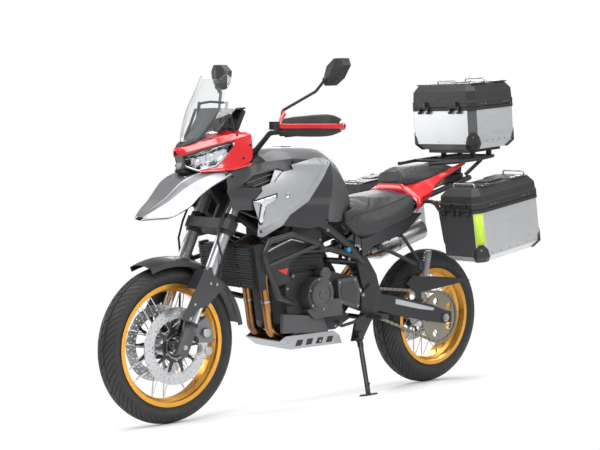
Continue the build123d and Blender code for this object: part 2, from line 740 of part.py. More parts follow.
def engine_covers():
    """Alternator cover, sprocket cover and small cover on the left, clutch cover on the right."""
    face = engine_half_width
    alternator = ring(alternator_x, alternator_z, face, alternator_face_y - 12, alternator_radius)
    cap = ring(alternator_x, alternator_z, face, alternator_face_y, alternator_radius - 14)
    lower = plate([(alternator_x + 60, 430), (alternator_x + 20, 392), (-70, 396), (-70, 470),
                   (alternator_x, 470)], face, face + 34)
    small = ring(38, 586, face, face + 44, 30)
    guard = plate([(-54, 552), (-168, 560), (-196, 500), (-184, 414), (-66, 446)],
                  sprocket_y + 26, face + 22)
    guard = guard - plate([(-60, 546), (-164, 552), (-190, 500), (-200, 440), (-120, 400),
                           (-72, 446)], 0, face + 18)
    belly = plate([(262, 424), (30, 398), (0, 326), (262, 342)], face, face + 20)
    clutch = ring(-6, 496, -face - 44, -face, 86)
    clutch_cap = ring(-6, 496, -face - 58, -face, 58)
    side = ring(140, 470, -face - 30, -face, 52)
    case_space = plate([(226, 452), (236, 540), (196, 596), (-30, 592), (-150, 560), (-206, 500),
                        (-206, 430), (-150, 372), (-60, 330), (180, 330), (216, 372)],
                       -face, face)
    drive = ring(drive_sprocket_x, drive_sprocket_z, sprocket_y - sprocket_thickness / 2,
                 sprocket_y + sprocket_thickness / 2, drive_sprocket_radius)
    boss = ring(drive_sprocket_x, drive_sprocket_z, sprocket_y - 14 + running_gap,
                sprocket_y + 10, 22)
    left = join([alternator, cap, lower, small, belly]) - case_space
    right = join([clutch, clutch_cap, side])
    return gather([left, guard - case_space, right, join([drive, boss])])


silencer_start = Vector(-566, silencer_y, 622)
silencer_end = Vector(-930, silencer_y - 6, 722)
silencer_along = (silencer_end - silencer_start).normalized()


def exhaust_headers():
    """Two header pipes down the front of the engine, joined below it, and the link pipe."""
    shapes = []
    for side in (-1, 1):
        route = [(245.3, side * header_y, 742), (294, side * header_y, 742),
                 (298, side * header_y, 560), (262, side * header_y, 344),
                 (190, side * header_y * 0.8, 300), (60, side * 24, 299)]
        shapes.append(tube(route, header_radius, 45))
    collector = rod((90, 0, 298), (-80, -20, 298), 30)
    link = tube([(-60, -18, 298), (-150, -60, 298), (-240, -168, 302), (-330, -184, 384),
                 (-410, -178, 524), silencer_start - silencer_along * 66, silencer_start], 24, 40)
    return join(shapes + [collector, link])


def silencer():
    """The end can on the right, between the wheel and the pannier."""
    start, end, along = silencer_start, silencer_end, silencer_along
    body = rod(start + along * 60, end, silencer_radius)
    cone = Solid.make_cone(28, silencer_radius, 60, Plane(origin=start, z_dir=along))
    outlet = rod(end, end + along * 16, 24)
    strap = rod(start + along * 180, start + along * 204, silencer_radius + 3)
    strap_point = start + along * 192 + Vector(0, 0, silencer_radius - 4)
    rail_side = rail_line[-1][1] + subframe_tube_radius + running_gap
    top_z = height_on(rail_line, -760)
    lug = tube([strap_point, (-760, -rail_side - 34, top_z), (-760, -rail_side, top_z)], 8, 12)
    link_end = rod(start - along * 30, start + along * 0.3, 26)
    return join([body, cone, outlet, strap, lug]) - link_end


def radiator():
    """The core with side tanks, its guard of slats and the hoses to the engine."""
    core = plate([(428, 545), (456, 724), (424, 730), (396, 550)], -176, 176)
    tanks = [plate([(430, 538), (459, 730), (417, 736), (388, 544)], y, y + 20)
             for y in (-190, 170)]
    slats = []
    for number in range(9):
        z = 560 + number * 19
        x = 430 + (z - 545) * 36 / 223
        slats.append(slab(x, x + 9, -178, 178, z, z + 4))
    posts = [plate([(436, 545), (464, 724), (456, 725), (428, 546)], y, y + 8)
             for y in (-178, -62, 54, 170)]
    hose = tube([(430, 0, 712), (340, 0, 748), (247.5, 0, 770)], 15, 26)
    low_hose = tube([(412, -150, 580), (330, -150, 560), (243.5, -112, 524)], 15, 26)
    shroud = plate([(424, 700), (392, 712), (259, 755), (167, 731), (182, 700), (268, 640),
                    (266, 566), (330, 552), (414, 630)], 182, 198)
    shroud = chamfer(shroud.faces().sort_by(Axis.Y)[-1].edges(), 5)
    return join([core, *tanks, *slats, *posts, hose, low_hose, shroud, mirrored(shroud)])


def skid_plate():
    """A bent aluminium plate under the engine, with upturned sides."""
    floor = plate([(252, 305), (256, 301), (196, 262), (-112, 262), (-112, 267),
                   (194, 267)], -112, 112)
    wall = plate([(252, 305), (256, 301), (196, 262), (-112, 262), (-96, 300),
                  (-60, 322), (220, 322)], 111, 116)
    posts = [rod((x, 90, 266), (x, 90, 330 - running_gap), 7) for x in (-40, 150)]
    return join([floor, wall, mirrored(wall), *posts, *[mirrored(post) for post in posts]])


def crash_bars():
    """The engine guard loops, each with its middle stay."""
    loop = tube([(66, 162, 706), (137, 232, 727), (303, 250, 775), (437, 260, 752),
                 (470, 264, 700), (437, 258, 629), (364, 240, 512), (214, 156, 470)],
                crash_bar_radius, 28)
    stay = rod((137, 228, 722), (440, 256, 650), crash_bar_radius - 2)
    foot = rod((66, 154.6, 706), (66, 176, 706), 16)
    low_foot = rod((214, engine_half_width + running_gap, 470), (214, 162, 470), 15)
    return gather(both(join([loop, stay, foot, low_foot])))


# ------------------------------------------------------------------ swingarm and drive
def swingarm():
    """Two arms, the pivot tube, the cross piece and the plates that hold the axle."""
    outline = [(pivot_x + 34, pivot_z + 26), (pivot_x, pivot_z + 38), (-439, 448), (-687, 388),
               (-777, 356), (-822, 346), (-822, 296), (-763, 294), (-433, 361), (-320, 398),
               (pivot_x + 34, pivot_z - 28)]
    arm = plate(outline, swingarm_inner_y, swingarm_outer_y)
    slot = plate([(-790, 308), (-790, 334), (-745, 334), (-745, 308)], swingarm_inner_y - 1,
                 swingarm_outer_y + 1)
    pivot_tube = ring(pivot_x, pivot_z, -swingarm_inner_y - 1, swingarm_inner_y + 1,
                      pivot_tube_radius + 8)
    cross = plate([(-350, 448), (-420, 438), (-426, 384), (-352, 398)], -swingarm_inner_y - 1,
                  swingarm_inner_y + 1)
    lug = plate([(-366, 446), (-404, 440), (-396, 488), (-372, 488)], 17.6, 26)
    bore = ring(pivot_x, pivot_z, -plate_outer_y, plate_outer_y, 13.3)
    axle = ring(rear_axle_x, rear_tyre_radius, -plate_outer_y, plate_outer_y,
                rear_axle_radius + running_gap)
    shapes = [arm, mirrored(arm), pivot_tube, cross, lug, mirrored(lug)]
    return join(shapes).cut(bore, axle)


def rear_shock():
    """The damper body, its spring and both eyes."""
    top = Vector(-256, 0, 690)
    low = Vector(-384, 0, 470)
    along = (top - low).normalized()
    body = rod(low + along * 22, top - along * 18, 21)
    eyes = [rod((p.X, -17, p.Z), (p.X, 17, p.Z), 18) for p in (top, low)]
    length = (top - low).length - 96
    turns = 7
    coils = []
    for number in range(turns):
        centre = low + along * (52 + length * number / (turns - 1))
        coils.append(Plane(origin=centre, z_dir=along) * Torus(34, 6))
    seats = [rod(low + along * 40, low + along * 46, 41), rod(top - along * 40, top - along * 46, 41)]
    web = rod(low + along * 40, top - along * 40, 31)
    return join([body, web, *eyes, *seats, *coils])


def tangent_points(offset):
    """Where the chain's two runs leave the sprockets, moved out by the offset."""
    span_x = drive_sprocket_x - rear_axle_x
    span_z = drive_sprocket_z - rear_tyre_radius
    span = math.hypot(span_x, span_z)
    base = math.atan2(span_z, span_x)
    tilt = math.acos((sprocket_radius - drive_sprocket_radius) / span)
    runs = []
    for sign in (1, -1):
        angle = base + sign * tilt
        runs.append(((rear_axle_x + (sprocket_radius + offset) * math.cos(angle),
                      rear_tyre_radius + (sprocket_radius + offset) * math.sin(angle)),
                     (drive_sprocket_x + (drive_sprocket_radius + offset) * math.cos(angle),
                      drive_sprocket_z + (drive_sprocket_radius + offset) * math.sin(angle))))
    return runs


def chain_outline(offset):
    """The closed line of the chain: two runs and the arcs round both sprockets."""
    (upper_rear, upper_front), (lower_rear, lower_front) = tangent_points(offset)
    rear_point = (rear_axle_x - sprocket_radius - offset, rear_tyre_radius)
    front_point = (drive_sprocket_x + drive_sprocket_radius + offset, drive_sprocket_z)

    def at(point):
        return (point[0], 0, point[1])
    return Wire([
        Line(at(upper_rear), at(upper_front)),
        ThreePointArc(at(upper_front), at(front_point), at(lower_front)),
        Line(at(lower_front), at(lower_rear)),
        ThreePointArc(at(lower_rear), at(rear_point), at(upper_rear)),
    ])


def chain():
    """Two bands of side plates either side of the sprockets, joined by rollers on the runs."""
    outer = Face(chain_outline(chain_height / 2 - 4))
    inner = Face(chain_outline(-chain_height / 2 - 4))
    band = outer - inner
    inside = sprocket_thickness / 2 + chain_clearance
    shapes = []
    for start in (sprocket_y + inside, sprocket_y - inside - chain_plate):
        shapes.append(Pos(0, start, 0) * Solid.extrude(band.faces()[0], Vector(0, chain_plate, 0)))
    for rear, front in tangent_points(-4):
        length = math.hypot(front[0] - rear[0], front[1] - rear[1])
        count = int(length / chain_pitch / 2)
        for number in range(3, count - 1):
            share = number / count
            x = rear[0] + (front[0] - rear[0]) * share
            z = rear[1] + (front[1] - rear[1]) * share
            if math.hypot(x - rear_axle_x, z - rear_tyre_radius) > sprocket_radius + 14:
                shapes.append(ring(x, z, sprocket_y - inside - 1, sprocket_y + inside + 1, 4.5))
    return join(shapes)


def chain_guard():
    """The upper chain guard with its rear hugger edge, carried by the swingarm."""
    outside = swingarm_inner_y - running_gap
    cover = plate([(-537, 497), (-580, 533), (-857, 505), (-990, 484), (-759, 461), (-640, 450),
                   (-640, 380), (-600, 390), (-600, 450)], outside - panel_wall, outside)
    top = plate([(-580, 533), (-857, 505), (-857, 501), (-580, 529)], 78, outside)
    return join([cover, top])


# ------------------------------------------------------------------ tank and panels
tank_tunnel_z = 912.0


def fuel_tank():
    """The tank, with a tunnel for the frame below it."""
    rows = [  # x, half width at the shoulder, half width at the crest, crest, shoulder, floor
        (fork_point(upper_clamp_at, 0, steering_behind)[0] - 78.1, 96, 40, 1110, 1046, 946), (228, 156, 70, 1134, 1072, 880),
        (121, 176, 86, 1141, 1070, 836), (0, 170, 88, 1136, 1056, 812),
        (-90, 140, 70, 1092, 1010, 804), (-166, 96, 48, 1002, 940, 826),
        (-206, 70, 34, 934, 900, 850)]
    sections = []
    for x, shoulder, crest_half, crest, shoulder_z, floor in rows:
        low = shoulder * 0.86
        sections.append([(x, -low, floor), (x, -shoulder, shoulder_z), (x, -crest_half, crest - 8),
                         (x, 0, crest), (x, crest_half, crest - 8), (x, shoulder, shoulder_z),
                         (x, low, floor)])
    tunnel = slab(-120, 420, -158, 158, 700, tank_tunnel_z)
    nose_tunnel = slab(240, 420, -70, 70, 800, 1000)
    cap = rod((150, 0, 1130), (150, 0, 1152), 36)
    riser_room = rod(fork_point(upper_clamp_at - 30, 0, steering_behind),
                     fork_point(upper_clamp_at + 160, 0, steering_behind), bar_clamp_y + 34)
    return (skin(sections) + cap) - tunnel - nose_tunnel - riser_room


def beak():
    """The pointed front fender under the headlamp: a folded shell."""
    rows = [  # x, edge half width, edge z, crest y, crest z, middle z
        (906, 36, 858, 20, 868, 862), (811, 108, 869, 54, 936, 926), (758, 148, 906, 66, 1000, 990),
        (700, 160, 958, 76, 1028, 1022), (600, 170, 1012, 84, 1042, 1036)]
    sections = []
    for x, edge, edge_z, crest_y, crest, middle in rows:
        wall = panel_wall
        top = [(x, -edge, edge_z), (x, -crest_y, crest), (x, 0, middle), (x, crest_y, crest),
               (x, edge, edge_z)]
        under = [(x, edge - wall * 2, edge_z - wall), (x, crest_y - wall, crest - wall * 1.6),
                 (x, 0, middle - wall * 1.6), (x, wall - crest_y, crest - wall * 1.6),
                 (x, wall * 2 - edge, edge_z - wall)]
        sections.append(top + under)
    tongue = plate([(590 + running_gap, 1008), (590 + running_gap, 1034), (650, 1034),
                    (650, 1022)], -12, 12)
    return skin(sections) + tongue


side_rows = [  # x, then y at z 740, 860, 980, 1100: the outer line of the left side
    (600, 120, 172, 186, 120), (480, 196, 208, 214, 176), (330, 206, 214, 214, 194),
    (180, 196, 200, 202, 194), (0, 176, 180, 190, 182)]
side_levels = (740, 860, 980, 1100)


def side_skin(inset, wall):
    """The surface that the left side panels follow, as a wall of the given thickness."""
    sections = []
    for x, *widths in side_rows:
        outer = [(x, y - inset, z) for y, z in zip(widths, side_levels)]
        inner = [(x, y - inset - wall, z) for y, z in zip(widths, side_levels)]
        sections.append(outer + inner[::-1])
    return skin(sections)


silver_outline = [(437, 958), (484, 916), (452, 840), (450, 772), (426, 766), (317, 812),
                  (278, 854), (162, 908), (60, 1020), (25, 1076), (60, 1092), (120, 1094),
                  (266, 1066), (255, 1046), (317, 1036), (360, 1000), (440, 978)]
dark_outline = [(586, 1034), (596, 960), (560, 884), (427, 880), (330, 812), (150, 790),
                (20, 796), (10, 1010), (20, 1080), (250, 1094), (400, 1080)]


def side_fairings():
    """The silver side panels, with the air scoop cut behind their front edge."""
    panel = side_skin(0, panel_wall) & plate(silver_outline, 0, 400)
    return gather(both(panel))


def dark_panels():
    """The satin inner panels under the silver ones, and the covers below the seat."""
    scoop = plate([(545, 980), (317, 1050), (300, 1026), (380, 972)], 150, 400)
    panel = (side_skin(panel_wall + 0.5, panel_wall) & plate(dark_outline, 0, 400)) - scoop
    under = plate([(-184, 728), (-194, 650), (-262, 692), (-468, 744), (-575, 830), (-512, 832),
                   (-342, 771), (-220, 730)], 158, 165)
    stay_side = stay_line[0][1] + stay_radius + running_gap - 0.7
    cover = join([under] + [rod((x, stay_side, height_on(stay_line, x)),
                                (x, 159, height_on(stay_line, x)), 7) for x in (-370, -470)])
    spar_side = spar_route[3][1] + frame_tube_radius + running_gap
    fixings = [rod((60, spar_side, 808), (60, 176, 808), 7),
               rod((330, 95 + frame_tube_radius, 884), (330, 206, 884), 7)]
    return gather(both(join([panel, *fixings])) + both(cover))


def headlight():
    """The lamp unit: a closed body behind the lens, filling the cowl's mouth."""
    rows = [  # x, half width, low z, high z
        (694, 42, 1062, 1102), (650, 78, 1048, 1122), (598, 118, 1062, 1144),
        (546, 146, 1086, 1152)]
    sections = [[(x, -half, low + 12), (x, -half * 0.6, low), (x, half * 0.6, low),
                 (x, half, low + 12), (x, half, high - 10), (x, half * 0.5, high),
                 (x, -half * 0.5, high), (x, -half, high - 10)] for x, half, low, high in rows]
    return skin(sections)


cowl_rows = [  # x, brow half width, brow z, ridge z, cheek half width, cheek z
    (716, 26, 1108, 1138, 30, 1104), (650, 84, 1130, 1166, 88, 1118),
    (590, 128, 1150, 1190, 134, 1130), (530, 154, 1164, 1204, 160, 1120),
    (462, 174, 1188, 1212, 184, 1100)]


def cowl_space():
    """Everything under the cowl's outer face, which the screen's foot stands on."""
    lift = 2 * running_gap
    return skin([[(x, -cheek, 900), (x, -brow, brow_z + 6 + lift), (x, -brow * 0.45, ridge + lift),
                  (x, brow * 0.45, ridge + lift), (x, brow, brow_z + 6 + lift), (x, cheek, 900)]
                 for x, brow, brow_z, ridge, cheek, cheek_z in cowl_rows])


def nose_cowl():
    """The red cowl over the headlamp and its cheeks."""
    sections = []
    for x, brow, brow_z, ridge, cheek, cheek_z in cowl_rows:
        wall = panel_wall
        outer = [(x, -cheek, cheek_z), (x, -brow, brow_z + 6), (x, -brow * 0.45, ridge),
                 (x, brow * 0.45, ridge), (x, brow, brow_z + 6), (x, cheek, cheek_z)]
        inner = [(x, cheek - wall, cheek_z), (x, brow - wall, brow_z + 2),
                 (x, brow * 0.45, ridge - wall), (x, -brow * 0.45, ridge - wall),
                 (x, wall - brow, brow_z + 2), (x, wall - cheek, cheek_z)]
        sections.append(outer + inner)
    hood = skin(sections)
    posts = [rod((598, y, 1145 + running_gap), (598, y, 1182), 7) for y in (-46, 46)]
    cheek_rows = [  # x, y, low z, high z
        (657, 96, 1042, 1054), (580, 146, 1050, 1064), (500, 176, 1058, 1108),
        (465, 186, 1076, 1104)]
    cheek = skin([[(x, y, low), (x, y, high), (x, y - panel_wall, high), (x, y - panel_wall, low)]
                  for x, y, low, high in cheek_rows])
    return join([hood, cheek, mirrored(cheek), *posts])


def windscreen():
    """The clear screen: a bowed sheet that leans back and is notched at its top."""
    thick = 4.0
    rows = [  # z, x of the middle, x of the edge, half width
        (1140, 698, 640, 64), (1210, 662, 596, 120), (1300, 612, 536, 166),
        (1360, 578, 508, 158), (1424, 540, 500, 130)]
    sections = []
    for z, middle, edge, half in rows:
        arc = []
        for share in (-1, -0.75, -0.4, 0, 0.4, 0.75, 1):
            arc.append((edge + (middle - edge) * (1 - share ** 2), half * share, z))
        sections.append(arc + [(x - thick, y, z) for x, y, z in reversed(arc)])
    sheet = skin(sections)
    horns = skin([[(500, 130, 1423), (540, 40, 1423), (536, 40, 1423), (496, 130, 1423)],
                  [(512, 104, 1446), (520, 84, 1446), (516, 84, 1446), (508, 104, 1446)]])
    return join([sheet, horns, mirrored(horns)]) - cowl_space()


def dashboard():
    """The instrument panel with its visor and the screen's mounting arms."""
    display = plate([(468, 1220), (452, 1210), (412, 1290), (430, 1300)], -82, 82)
    visor = plate([(486, 1300), (420, 1308), (420, 1300), (484, 1293)], -88, 88)
    arms = plate([(456, 1214), (476, 1296), (462, 1296), (440, 1220)], 26, 38)
    arms = arms + plate([(462.5, 1212 + running_gap), (476, 1210.4 + running_gap), (476, 1218),
                         (462, 1226)], 26, 38)
    return join([display, visor, arms, mirrored(arms)])


def seat_block(rows):
    """A cushion on the tray, from a table of x, half width, top and edge height."""
    sections = []
    for x, half, top, edge in rows:
        floor = tray_top(min(x, tray_front_x)) + seat_gap
        sections.append([(x, -half * 0.8, floor), (x, -half, edge), (x, -half * 0.55, top),
                         (x, 0, top + 4), (x, half * 0.55, top), (x, half, edge),
                         (x, half * 0.8, floor)])
    return skin(sections)


tray_front_x = -296.0
rider_rows = [  # x, half width, top, edge
    (-216, 84, 928, 884), (-290, 132, 942, 892), (-390, 166, 940, 894), (-480, 178, 944, 900),
    (-500, 176, 942, 901)]
pillion_rows = [
    (-533, 88, 1023, 1000), (-600, 126, 1036, 1004), (-740, 120, 1046, 1022),
    (-880, 86, 1052, 1040)]
flap_rows = [  # x, outer y, low z, high z of the seat's left side
    (-150, 142, 790, 850), (-216, 158, 734, 880), (-340, 172, 776, 890), (-500, 178, 834, 898)]


def rider_seat():
    """The rider's cushion, its front narrowed between the knees."""
    block = seat_block(rider_rows)
    flap = skin([[(x, y, low), (x, y, high), (x, y - 26, high), (x, y - 26, low)]
                 for x, y, low, high in flap_rows])
    return join([block, flap, mirrored(flap)])


def pillion_seat():
    """The passenger's cushion behind and above the rider's."""
    rider_space = skin([[(x, -half, 800), (x, -half, top + 8), (x, half, top + 8),
                         (x, half, 800)] for x, half, top, edge in rider_rows])
    return seat_block(pillion_rows) - rider_space


def tail_cowl():
    """The red tail panels: a blade each side from the seat to the tail's tip."""
    rows = [  # x, y outer, low z, high z
        (-454, 188, 912, 944), (-488, 189, 876, 950), (-524, 190, 838, 955),
        (-560, 186, 846, 964), (-623, 166, 872, 984), (-796, 134, 956, 1022), (-928, 110, 1036, 1060)]
    blade = skin([[(x, y, low), (x, y, high), (x, y - 8, high), (x, y - 8, low)]
                  for x, y, low, high in rows])
    rail_side = rail_line[-1][1] + subframe_tube_radius + running_gap
    fixings = [rod((x, rail_side, height_on(rail_line, x)), (x, y, height_on(rail_line, x)), 7)
               for x, y in ((-580, 172), (-700, 144))]
    room = rod((hoop_front_x, rail_side, hoop_front_z), (hoop_front_x, 300, hoop_front_z),
               rack_tube_radius + 2)
    return gather(both(join([blade, *fixings]) - room))


def rear_fender():
    """The tail tray, the splash guard with its plate holder, and the number plate."""
    tray = skin([[(x, -84, tray_top(x) - tray_thickness), (x, -84, tray_top(x)),
                  (x, 84, tray_top(x)), (x, 84, tray_top(x) - tray_thickness)]
                 for x in (tray_front_x, rail_line[2][0], -925)])
    guard = plate([(-890, 984), (-968, 1006), (-1050, 700), (-1074, 640), (-1066, 638),
                   (-1040, 700), (-956, 990), (-890, 974)], -60, 60)
    board = plate([(-1060, 792), (-1100, 650), (-1104, 651), (-1064, 793)], -90, 90)
    link = rod((-1040, 0, 740), (-1082, 0, 728), 12)
    return join([tray, guard, board, link])


def lamps():
    """Front turn lamps in the side panels, tail lamp and rear turn lamps."""
    front = (side_skin(-3, 3) & plate([(484, 917), (360, 944), (362, 926), (420, 898),
                                       (436, 826), (446, 828), (452, 842)], 0, 400))
    tail = plate([(-928, 997), (-968, 1006.4), (-974, 1038), (-936, 1036)], -58, 58)
    stalk = rod((-1003, 60 + running_gap, 850), (-1003, 120, 850), 6)
    bulb = skin([[(-988, 116, 838), (-988, 116, 862), (-1020, 116, 864), (-1020, 116, 836)],
                 [(-992, 168, 842), (-992, 168, 858), (-1016, 168, 860), (-1016, 168, 840)]])
    return gather(both(front) + [tail] + both(join([stalk, bulb])))


def footrests():
    """Rider pegs and pedals on the pivot plates, passenger pegs on their hangers."""
    shapes = []
    for side in (-1, 1):
        face = plate_outer_y
        bracket = plate([(-196, 480), (-258, 524), (-286, 500), (-262, 378), (-226, 372),
                         (-196, 400)], side * (face + 0.3), side * (face + 12))
        peg = slab(-262, -216, min(side * (face + 8), side * 262), max(side * (face + 8), side * 262),
                   372, 392)
        pedal = tube([(-226, side * (face + 18), 384), (-120, side * (face + 36), 360),
                      (-40, side * (face + 46), 352), (-10, side * (face + 46), 372)], 7, 16)
        toe = rod((-10, side * (face + 36), 372), (-10, side * (face + 76), 372), 9)
        root = rod((-226, side * (face + 6), 384), (-226, side * (face + 26), 384), 14)
        shapes.append(join([bracket, peg, pedal, toe, root]))
        stay_side = stay_line[0][1] + stay_radius + running_gap
        boss = rod((-312, side * stay_side, 684), (-312, side * 152, 684), 12)
        hanger = tube([(-312, side * 144, 684), (-400, side * 218, 684),
                       (-520, side * 222, 608)], 10, 24)
        passenger = slab(-548, -510, min(side * 214, side * 262), max(side * 214, side * 262),
                         598, 620)
        shapes.append(join([hanger, passenger, boss]))
    return gather(shapes)


# ------------------------------------------------------------------ luggage
def box_plan(length, inner_y, outer_y, chamfers, inset):
    """The plan of a box, front edge at x = 0, with its outer corners cut off."""
    low = inner_y + inset
    high = outer_y - inset
    cut = box_chamfer - inset * 0.4
    front = -inset
    rear = inset - length
    if chamfers == 2:
        return [(front, low), (front, high - cut), (front - cut, high), (rear + cut, high),
                (rear, high - cut), (rear, low)]
    return [(front, low + cut), (front, high - cut), (front - cut, high), (rear + cut, high),
            (rear, high - cut), (rear, low + cut), (rear + cut, low), (front - cut, low)]


def box_core(plan_of, inset, low, high, bevel_low, bevel_high):
    """A closed block with its bottom or top edges bevelled."""
    levels = []
    if bevel_low:
        levels += [(low, box_bevel), (low + box_bevel, 0)]
    else:
        levels += [(low, 0)]
    if bevel_high:
        levels += [(high - bevel_high, 0), (high, bevel_high)]
    else:
        levels += [(high, 0)]
    blocks = []
    for (z_from, cut_from), (z_to, cut_to) in zip(levels, levels[1:]):
        blocks.append(Solid.make_loft([
            Wire.make_polygon([Vector(x, y, z_from) for x, y in plan_of(inset + cut_from)],
                              close=True),
            Wire.make_polygon([Vector(x, y, z_to) for x, y in plan_of(inset + cut_to)],
                              close=True)], True))
    return join(blocks)


def box_body(plan_of, depth, width_y):
    """The aluminium body, open at the top, with corner guards and hinge ears."""
    outer = box_core(plan_of, 0, -depth, 0, True, 0)
    cavity = box_core(plan_of, box_wall, box_wall - depth, 1, True, 0)
    guards = []
    for x, y in plan_of(-1.5):
        guards.append(Pos(x, y, -depth + 34) * Cylinder(10, 66))
    guard_space = box_core(plan_of, -3, -depth - 6, -1, False, 0)
    guard_set = [guard & guard_space for guard in guards]
    ears = []
    for y in width_y:
        for low, high in ((y - 34, y - 20), (y + 20, y + 34)):
            ears.append(slab(0, hinge_pin_ahead + 6, low, high, -hinge_arm, -1))
            ears.append(rod((hinge_pin_ahead, low, 0), (hinge_pin_ahead, high, 0),
                            hinge_pin_radius + 2))
    pins = [rod((hinge_pin_ahead, y - 34, 0), (hinge_pin_ahead, y + 34, 0), hinge_pin_radius)
            for y in width_y]
    return join([outer, *guard_set, *ears, *pins]) - cavity


def box_lid(plan_of, height, width_y, handle_y):
    """The lid: a hollow cover, its hinge knuckles and the wire handles on top."""
    outer = box_core(plan_of, -2, lid_gap, height, False, 12)
    cavity = box_core(plan_of, box_wall, lid_gap - 1, height - box_wall, False, 10)
    shapes = [outer]
    for y in width_y:
        shapes.append(slab(0, hinge_pin_ahead + 6, y - 19, y + 19, 2, hinge_arm))
        shapes.append(rod((hinge_pin_ahead, y - 19, 0), (hinge_pin_ahead, y + 19, 0),
                          hinge_pin_radius + 3))
    handles = []
    for x in handle_y:
        middle = (plan_of(0)[0][1] + plan_of(0)[2][1]) / 2
        handles.append(tube([(x, middle - 62, height - 1), (x, middle - 62, height + 16),
                             (x, middle + 62, height + 16), (x, middle + 62, height - 1)], 4, 10))
    bores = [rod((hinge_pin_ahead, y - 40, 0), (hinge_pin_ahead, y + 40, 0),
                 hinge_pin_radius + running_gap) for y in width_y]
    return join(shapes + handles).cut(cavity, *bores)


def pannier_plan(inset):
    return box_plan(pannier_length, pannier_inner_y, pannier_outer_y, 2, inset)


def top_box_plan(inset):
    return box_plan(top_box_length, -top_box_half_width, top_box_half_width, 4, inset)


pannier_place = Location((pannier_front_x, 0, pannier_joint_z)) * Rotation(0, pannier_pitch, 0)
top_box_place = Location((top_box_front_x, 0, top_box_joint_z)) * Rotation(0, top_box_pitch, 0)
pannier_hinges = [pannier_inner_y + 52, pannier_outer_y - 82]
top_box_hinges = [-100, 100]


def left_box():
    return pannier_place * box_body(pannier_plan, pannier_depth, pannier_hinges)


def right_box():
    return mirrored(left_box())


def left_lid():
    return pannier_place * box_lid(pannier_plan, pannier_lid, pannier_hinges, (-46, -394))


def right_lid():
    return mirrored(left_lid())


def top_box():
    return top_box_place * box_body(top_box_plan, top_box_depth, top_box_hinges)


def top_lid():
    return top_box_place * box_lid(top_box_plan, top_box_lid, top_box_hinges, (-60, -262))


hoop_front_x = -570.0
hoop_front_z = 884.0


def luggage_racks():
    """The rack behind the seat, with the top box's plate, and a hoop for each pannier."""
    rail = tube([(-690, 98, 1052), (-840, 150, 1062), (-1000, 150, 1076), (-1120, 120, 1088)],
                rack_tube_radius, 30)
    stay_foot = height_on(rail_line, -930) + subframe_tube_radius + rack_tube_radius
    stay = rod((-930, 112, stay_foot), (-1000, 150, 1070), rack_tube_radius)
    shapes = both(rail) + both(stay)
    for x, z in ((-860, 1064), (-1000, 1076), (-1118, 1088)):
        shapes.append(rod((x, -148 if x > -1100 else -121, z), (x, 148 if x > -1100 else 121, z),
                          rack_tube_radius - 1))
    deck = top_box_place * Pos(-top_box_length / 2, 0, -top_box_depth - running_gap - 9) \
        * Box(top_box_length - 90, 260, 18)
    shapes.append(deck)
    for x, z in ((-1000, 1076), (-1118, 1088)):
        shapes += [rod((x, y, z), (x, y, z + 36), 14) for y in (-95, 95)]
    rack = join(shapes)
    side = pannier_inner_y - 12
    rail_side = rail_line[-1][1] + subframe_tube_radius + running_gap
    hoop = [tube([(hoop_front_x, rail_side, hoop_front_z), (hoop_front_x, side - 12, hoop_front_z),
                  (-600, side, 840), (-640, side, 690), (-760, side, 668), (-960, side, 700),
                  (-930, side, 860), (-880, side - 30, 940),
                  (-880, rail_side + 1, height_on(rail_line, -880))], rack_tube_radius, 20)]
    brackets = []
    for x, z in ((-660, 700), (-900, 740), (-640, 810), (-930, 830)):
        brackets.append(rod((x, side - 6, z), (x, pannier_inner_y - running_gap, z), 12))
    bars = [rod((-612, side, 780), (-944, side, 800), rack_tube_radius - 1)]
    left = join(hoop + bars + brackets)
    return gather([rack, left, mirrored(left)])


def rear_caliper():
    """The rear caliper over the disc, on its carrier beside the swingarm."""
    body = slab(-740, -650, -100, -72, 400, 452)
    slot = ring(rear_axle_x, rear_tyre_radius, -rear_disc_y - 6, 2 - rear_hub_half,
                rear_disc_radius + 6)
    hanger = plate([(-656, 446), (-740, 452), (-700, 350), (-660, 380)], -103.5, -97)
    return join([body, hanger]) - slot


# ------------------------------------------------------------------ the whole machine
pieces = {
    "main_frame": main_frame, "subframe": subframe, "engine_block": engine_block,
    "engine_covers": engine_covers, "exhaust_headers": exhaust_headers, "silencer": silencer,
    "radiator": radiator, "skid_plate": skid_plate, "crash_bars": crash_bars,
    "swingarm": swingarm, "rear_shock": rear_shock, "chain": chain, "chain_guard": chain_guard,
    "rear_caliper": rear_caliper, "rear_axle": rear_axle, "fuel_tank": fuel_tank, "beak": beak,
    "side_fairings": side_fairings, "dark_panels": dark_panels, "headlight": headlight,
    "nose_cowl": nose_cowl, "windscreen": windscreen, "dashboard": dashboard,
    "rider_seat": rider_seat, "pillion_seat": pillion_seat, "tail_cowl": tail_cowl,
    "rear_fender": rear_fender, "lamps": lamps, "footrests": footrests,
    "luggage_racks": luggage_racks, "top_box": top_box, "left_box": left_box,
    "right_box": right_box, "top_lid": top_lid, "left_lid": left_lid, "right_lid": right_lid,
    "side_stand": side_stand, "triple_clamps": triple_clamps, "fork_tubes": fork_tubes,
    "fork_sliders": fork_sliders, "front_axle": front_axle, "front_fender": front_fender,
    "front_calipers": front_calipers, "handlebar": handlebar, "controls": controls,
    "hand_guards": hand_guards, "mirrors": mirrors, "hoses": hoses, "front_tyre": front_tyre,
    "front_rim": front_rim, "front_hub": front_hub, "front_discs": front_discs,
    "rear_tyre": rear_tyre, "rear_rim": rear_rim, "rear_hub": rear_hub, "rear_disc": rear_disc,
    "rear_sprocket": rear_sprocket,
}

